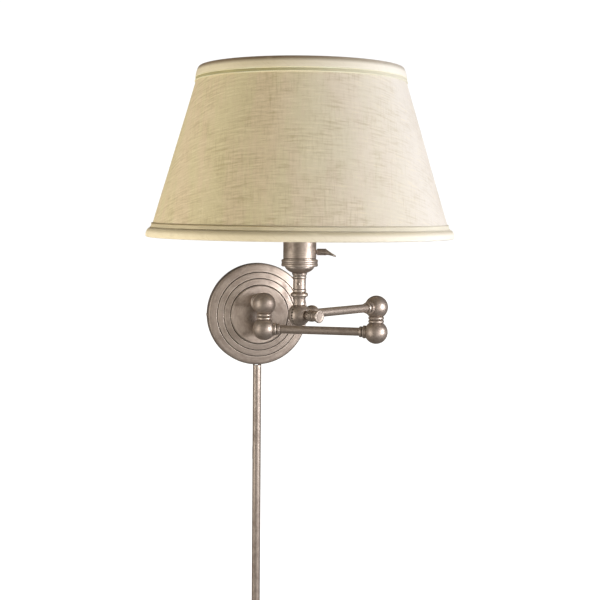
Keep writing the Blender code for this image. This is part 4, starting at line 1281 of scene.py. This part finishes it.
def build_cloth(sizes):
    base, top = sizes.shade_base / MM, (sizes.shade_base + sizes.shade_height) / MM
    low, high = base + 0.5, top - 0.5
    outer = [(cloth_radius(sizes, z), z) for z in np.linspace(high, low, 40)]
    inner = [(cloth_radius(sizes, z) - 1.0, z) for z in np.linspace(low, high, 20)]

    def ripple(radii, heights, angles):
        broad = 0.10 * np.sin(angles * 5 + heights * 0.05)
        wave = broad + 0.07 * np.sin(angles * 13 + 1.3 - heights * 0.09)
        fade = np.sin(np.clip((heights - low) / (high - low), 0.0, 1.0) * math.pi)
        return radii + wave * fade, heights

    spin = HEAD @ Matrix.Rotation(front_turn() - math.pi, 4, "Z")
    kinds = {"steps": 220, "closed": True, "spacing": 5.0, "shape": ripple, "flat": cut_pattern(sizes)}
    kinds.update(material="shade_linen", slot="linen")
    cloth = turned("shade_linen_cone", outer + inner, spin, "head", "shade_cloth", **kinds)
    put_painted_light(cloth.data)
    return cloth


def band_chart(points, charts):
    """UVs in metres round and up a trim band."""
    radius = np.hypot(points[:, 0], points[:, 1]).mean()
    return np.stack([charts[:, 0] * math.tau * radius, charts[:, 1]], 1)


def gathers(depth, seed):
    """Soft slanted puckers, as in a strip of cloth rolled round a wire."""
    draw = np.random.default_rng(seed)
    waves = [
        (int(draw.integers(40, 190)), draw.uniform(0, math.tau), draw.uniform(0.25, 0.6))
        for _ in range(7)
    ]

    def shape(radii, heights, angles):
        middle = (heights.max() + heights.min()) / 2
        half = (heights.max() - heights.min()) / 2
        up = heights - middle
        wave = sum(np.sin(count * angles + phase + up * lean) for count, phase, lean in waves)
        body = np.clip(1.0 - (up / half) ** 2, 0.0, 1.0)
        slow = 0.6 + 0.4 * np.sin(angles * 3 + waves[0][1])
        return radii + depth * wave / len(waves) * body * slow, heights

    return shape


def span(node):
    """A shade piece's lower and upper edge above the tilt knuckle, in millimetres."""
    low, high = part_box(node)
    return (low.z - TILT.z) / MM, (high.z - TILT.z) / MM


def build_roll(sizes, name, node, bulge, material, seed, painted_shade_depth):
    """A padded hem; painted_shade_depth is how far the painted shade on its upper edge reaches down."""
    low, high = span(node)
    middle, tall = (low + high) / 2, high - low
    outer = []
    for angle in np.linspace(math.pi / 2, -math.pi / 2, 25):
        height = middle + tall / 2 * math.copysign(abs(math.sin(angle)) ** 0.85, math.sin(angle))
        outer.append((cloth_radius(sizes, height) + 0.8 + bulge * abs(math.cos(angle)) ** 0.75, height))
    profile = outer + [(cloth_radius(sizes, low) + 0.3, low), (cloth_radius(sizes, high) + 0.3, high)]
    kinds = {"steps": 420, "closed": True, "spacing": 1.6, "flat": band_chart}
    kinds.update(shape=gathers(0.42, seed), material=material, slot="linen")
    piece = turned(name, profile, HEAD, "head", node, **kinds)
    # Painted shade: darkest at the top edge and fading downwards.
    up = (places_of(piece.data)[:, 2] - TILT.z) / MM - (high - painted_shade_depth)
    put_attribute(piece.data, "rim", np.clip(up / (painted_shade_depth * 0.6), 0.0, 1.0))
    put_painted_light(piece.data)
    return piece


def build_tape(sizes, name, node, material):
    low, high = span(node)
    profile = [
        (cloth_radius(sizes, high) + 0.3, high),
        (cloth_radius(sizes, high) + 1.0, high, 0.2),
        (cloth_radius(sizes, low) + 1.0, low, 0.2),
        (cloth_radius(sizes, low) + 0.3, low),
    ]
    kinds = {"steps": 300, "closed": True, "spacing": 1.0, "flat": band_chart}
    tape = turned(name, profile, HEAD, "head", node, material=material, slot="trim_tape", **kinds)
    put_painted_light(tape.data)
    return tape


STRAND_PITCH = 0.0022


def build_piping(sizes, tree, name, height, proud, thickness, material):
    radius = (cloth_radius(sizes, height) + proud) * MM
    values = {
        "Radius": radius,
        "Height": height * MM,
        "Thickness": thickness * MM,
        "Strands": int(radius * math.tau / STRAND_PITCH),
        "Material": finish(material),
    }
    mesh = grown_mesh(name, tree, values, HEAD)

    def unrolled(points):
        away = points - np.array(TILT)
        return np.stack([np.arctan2(away[:, 1], away[:, 0]) * radius, away[:, 2]], 1)

    put_chart(mesh, unrolled)
    put_painted_light(mesh)
    return show(name, mesh, material, "head", "trim_tape")


def build_trims(sizes):
    tree = piping_tree()
    top_low, top_high = span("shade_top_tape")
    low, high = span("shade_bottom_tape")
    cords = (
        ("top_piping_high", top_high + 0.2, 0.75, 0.75, "pale_piping"),
        ("top_piping_low", top_low - 0.2, 0.40, 0.72, "pale_piping"),
        ("bottom_piping_high", high + 0.1, 0.6, 0.78, "brown_piping"),
        ("bottom_piping_low", low - 0.1, 0.9, 0.62, "brown_piping"),
    )
    return [
        build_roll(sizes, "top_hem_roll", "shade_top_roll", 1.2, "top_hem", 3, 5.0),
        build_roll(sizes, "bottom_hem_roll", "shade_bottom_roll", 3.0, "bottom_hem", 8, 4.6),
        build_tape(sizes, "top_flat_tape", "shade_top_tape", "tape"),
        build_tape(sizes, "bottom_flat_tape", "shade_bottom_tape", "bottom_tape"),
        *(build_piping(sizes, tree, *cord) for cord in cords),
    ]


def build_frame(sizes):
    """The shade's two wire rings and the fitter that carries them."""
    kinds = {"material": "white_wire", "slot": "white_wire", "closed": True}
    base = sizes.shade_base / MM
    top = base + sizes.shade_height / MM
    for end, height in (("top", top - 2.6), ("bottom", base + 2.6)):
        radius = cloth_radius(sizes, height) - 2.7
        circle = [(radius + r, height + z) for r, z in curve_arc(1.2, 90.0, -270.0, 12)[:-1]]
        node = f"shade_{end}_wire"
        turned(f"{end}_wire_ring", circle, HEAD, "head", node, spacing=0.6, steps=200, **kinds)
    ring = [(17.5, 80.0), (23.0, 80.0, 0.3), (23.0, 78.8, 0.3), (17.5, 78.8)]
    mesh = turned_mesh("fitter_turned", ring, HEAD, closed=True)
    reach = cloth_radius(sizes, 79.6) - 4.3
    route = [(22.2, 79.4), (30.0, 81.4), (42.0, 83.6), (60.0, 84.0), (106.0, 84.0)]
    path = smooth_rows([*route, (124.0, 82.8), (reach, 79.6)], 6)
    sides = [math.tau * side / 12 for side in range(12)]
    arms = []
    for arm in range(3):
        turn = math.radians(arm * 120.0 + 30.0)
        across = Vector((-math.sin(turn), math.cos(turn), 0.0))
        along = Vector((math.cos(turn), math.sin(turn), 0.0))
        rows = []
        for index, (r, z) in enumerate(path):
            ahead = path[min(index + 1, len(path) - 1)]
            behind = path[max(index - 1, 0)]
            slope = UP * (ahead[1] - behind[1]) + along * (ahead[0] - behind[0])
            lift = slope.normalized().cross(across)
            centre = along * r + UP * z
            rows.append([centre + (across * math.cos(a) + lift * math.sin(a)) * 1.25 for a in sides])
        arms.append(loft_mesh("fitter_arm", rows, HEAD))
    joined(mesh, *arms)
    show("fitter_turned", mesh, "white_wire", "head", "white_wire", "shade_fitter")


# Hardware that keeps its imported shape


KEPT = {
    "zinc": (
        "wall_strap",
        "plate_nipple",
        "nipple_nut",
        "wall_pivot_stem",
        "wall_pivot_clip",
        "elbow_pivot_stem",
        "elbow_pivot_clip",
        "neck_nipple",
        "tilt_screw",
        "cover_clip_upper",
        "cover_clip_lower",
    ),
    "card": ("socket_liner",),
    "phenolic": ("socket_core", "switch_cam"),
    "brass": ("centre_contact", "screw_shell"),
}


def finish_kept():
    for name, nodes in KEPT.items():
        for node in nodes:
            slots = frame["nodes"][node].data.materials
            slots.clear()
            slots.append(finish(name))


# Stage


def make_light(name, place, target, size, power, colour):
    light = bpy.data.lights.new(name, "AREA")
    light.shape = "RECTANGLE"
    light.size, light.size_y = size
    light.energy = power
    light.color = colour
    obj = bpy.data.objects.new(name, light)
    obj.location = place
    obj.rotation_euler = (Vector(target) - Vector(place)).to_track_quat("-Z", "Y").to_euler()
    bpy.context.scene.collection.objects.link(obj)
    return obj


def make_camera():
    yaw, pitch, roll = (math.radians(a) for a in (15.47, -4.80, 0.53))
    level = Vector((math.sin(yaw), math.cos(yaw), 0.0))
    forward = level * math.cos(pitch) + UP * math.sin(pitch)
    right = Vector((math.cos(yaw), -math.sin(yaw), 0.0))
    up = right.cross(forward)
    leaning = right * math.cos(roll) + up * math.sin(roll)
    up = up * math.cos(roll) - right * math.sin(roll)
    data = bpy.data.cameras.new("front_view")
    data.lens = 68.2
    data.sensor_width = 36.0
    data.clip_start = 0.05
    data.clip_end = 50.0
    camera = bpy.data.objects.new("front_view", data)
    turn = Matrix((leaning, up, -forward)).transposed().to_4x4()
    camera.matrix_world = Matrix.Translation(CAMERA_PLACE) @ turn
    bpy.context.scene.collection.objects.link(camera)
    bpy.context.scene.camera = camera


def make_floor():
    mesh = bpy.data.meshes.new("studio_floor")
    half, level = 9.0, -0.62
    corners = [(x * half, y * half, level) for x, y in ((-1, -1), (1, -1), (1, 1), (-1, 1))]
    mesh.from_pydata(corners, [], [(0, 1, 2, 3)])
    look = Shading("pale_floor")
    look.set(Base_Color=(0.9, 0.9, 0.9), Roughness=0.8)
    look.set(Emission_Color=(1.0, 1.0, 1.0), Emission_Strength=1.05)
    mesh.materials.append(look.material)
    floor = bpy.data.objects.new("studio_floor", mesh)
    bpy.context.scene.collection.objects.link(floor)
    floor.visible_glossy = False
    floor.visible_diffuse = False


def make_world():
    """White behind the lamp, warm soft light for matt surfaces, and a darker room in reflections."""
    world = bpy.data.worlds.new("studio")
    world.use_nodes = True
    maker = NodeMaker(world.node_tree)

    def glow(colour, strength):
        return maker.node("ShaderNodeBackground", None, {"Color": colour, "Strength": strength})

    def choose(ray, otherwise, chosen):
        asked = maker.node("ShaderNodeLightPath", output=ray)
        return maker.node("ShaderNodeMixShader", None, {"Fac": asked, 1: otherwise, 2: chosen})

    soft = glow((1.0, 0.93, 0.78), 0.165)
    mirrored = choose("Is Glossy Ray", soft, glow((1.0, 0.93, 0.88), 0.13))
    seen = choose("Is Camera Ray", mirrored, glow((1.0, 1.0, 1.0), 1.05))
    maker.feed(maker.nodes["World Output"].inputs["Surface"], seen)
    bpy.context.scene.world = world


def build_stage():
    make_camera()
    make_world()
    make_floor()
    middle = (0.03, -0.1, 0.05)
    shade = (0.0, -0.16, 0.16)
    make_light("key_right", (1.22, -1.22, 0.14), middle, (0.50, 0.62), 26.5, (0.97, 0.98, 1.03))
    make_light("front_soft", (0.45, -2.30, -0.20), middle, (2.2, 1.3), 9.6, (1.0, 0.97, 0.93))
    fill = make_light("fill_left", (-1.50, -0.20, -0.30), shade, (1.0, 1.0), 20.0, (1.0, 0.95, 0.85))
    fill.visible_glossy = False
    make_light("side_left", (-1.50, -0.45, 0.0), middle, (0.9, 1.4), 9.0, (1.0, 0.97, 0.92))
    view = bpy.context.scene.view_settings
    view.view_transform = "Standard"
    view.look = "None"


# Operators


class SCONCE_OT_stage(bpy.types.Operator):
    """Makes the camera, the lights and the floor"""

    bl_idname = "sconce.stage"
    bl_label = "Stage"

    def execute(self, context):
        build_stage()
        return {"FINISHED"}


class SCONCE_OT_plate(bpy.types.Operator):
    """Makes the wall plate, its screws, the stub collar and the grommet"""

    bl_idname = "sconce.plate"
    bl_label = "Wall plate"

    def execute(self, context):
        build_plate(context.scene.sconce_sizes)
        return {"FINISHED"}


class SCONCE_OT_cover(bpy.types.Operator):
    """Makes the cord cover below the plate"""

    bl_idname = "sconce.cover"
    bl_label = "Cord cover"

    def execute(self, context):
        build_cover()
        return {"FINISHED"}


class SCONCE_OT_hinges(bpy.types.Operator):
    """Makes the four hinge balls and the beads between them"""

    bl_idname = "sconce.hinges"
    bl_label = "Hinge balls"

    def execute(self, context):
        build_hinges(context.scene.sconce_sizes)
        return {"FINISHED"}


class SCONCE_OT_arms(bpy.types.Operator):
    """Makes both arm tubes and their collars"""

    bl_idname = "sconce.arms"
    bl_label = "Arms"

    def execute(self, context):
        build_arms(context.scene.sconce_sizes)
        return {"FINISHED"}


class SCONCE_OT_knuckle(bpy.types.Operator):
    """Makes the toothed tilt knuckle, its knob and the neck above it"""

    bl_idname = "sconce.knuckle"
    bl_label = "Tilt knuckle and neck"

    def execute(self, context):
        build_knuckle(context.scene.sconce_sizes)
        build_knob()
        build_neck(context.scene.sconce_sizes)
        return {"FINISHED"}


class SCONCE_OT_socket(bpy.types.Operator):
    """Makes the lamp socket and its turn key"""

    bl_idname = "sconce.socket"
    bl_label = "Socket and key"

    def execute(self, context):
        build_socket()
        build_key()
        return {"FINISHED"}


class SCONCE_OT_bulb(bpy.types.Operator):
    """Makes the bulb and its screw cap"""

    bl_idname = "sconce.bulb"
    bl_label = "Bulb"

    def execute(self, context):
        build_bulb()
        return {"FINISHED"}


class SCONCE_OT_shade(bpy.types.Operator):
    """Makes the linen shade, its trims, its wires and its fitter"""

    bl_idname = "sconce.shade"
    bl_label = "Shade"

    def execute(self, context):
        sizes = context.scene.sconce_sizes
        cloth = build_cloth(sizes)
        trims = build_trims(sizes)
        build_frame(sizes)
        return {"FINISHED"}


class SCONCE_OT_hardware(bpy.types.Operator):
    """Gives the inner hardware its metal, card and plastic finishes"""

    bl_idname = "sconce.hardware"
    bl_label = "Inner hardware"

    def execute(self, context):
        finish_kept()
        return {"FINISHED"}


OPERATORS = (
    SCONCE_OT_stage,
    SCONCE_OT_plate,
    SCONCE_OT_cover,
    SCONCE_OT_hinges,
    SCONCE_OT_arms,
    SCONCE_OT_knuckle,
    SCONCE_OT_socket,
    SCONCE_OT_bulb,
    SCONCE_OT_shade,
    SCONCE_OT_hardware,
)


class SCONCE_PT_panel(bpy.types.Panel):
    """Lists the sizes, the colours and the steps"""

    bl_idname = "SCONCE_PT_panel"
    bl_label = "Wall Sconce"
    bl_space_type = "VIEW_3D"
    bl_region_type = "UI"
    bl_category = "Sconce"

    def draw(self, context):
        layout = self.layout
        for group in (context.scene.sconce_sizes, context.scene.sconce_colours):
            for key in group.__annotations__:
                layout.prop(group, key)
        for operator in OPERATORS:
            layout.operator(operator.bl_idname)


CLASSES = (SconceSizes, SconceColours, *OPERATORS, SCONCE_PT_panel)


def register():
    for item in CLASSES:
        bpy.utils.register_class(item)
    bpy.types.Scene.sconce_sizes = bpy.props.PointerProperty(type=SconceSizes)
    bpy.types.Scene.sconce_colours = bpy.props.PointerProperty(type=SconceColours)


def unregister():
    del bpy.types.Scene.sconce_colours
    del bpy.types.Scene.sconce_sizes
    for item in reversed(CLASSES):
        bpy.utils.unregister_class(item)


def main():
    register()
    for operator in OPERATORS:
        group, name = operator.bl_idname.split(".")
        getattr(getattr(bpy.ops, group), name)()


if __name__ == "__main__":
    main()
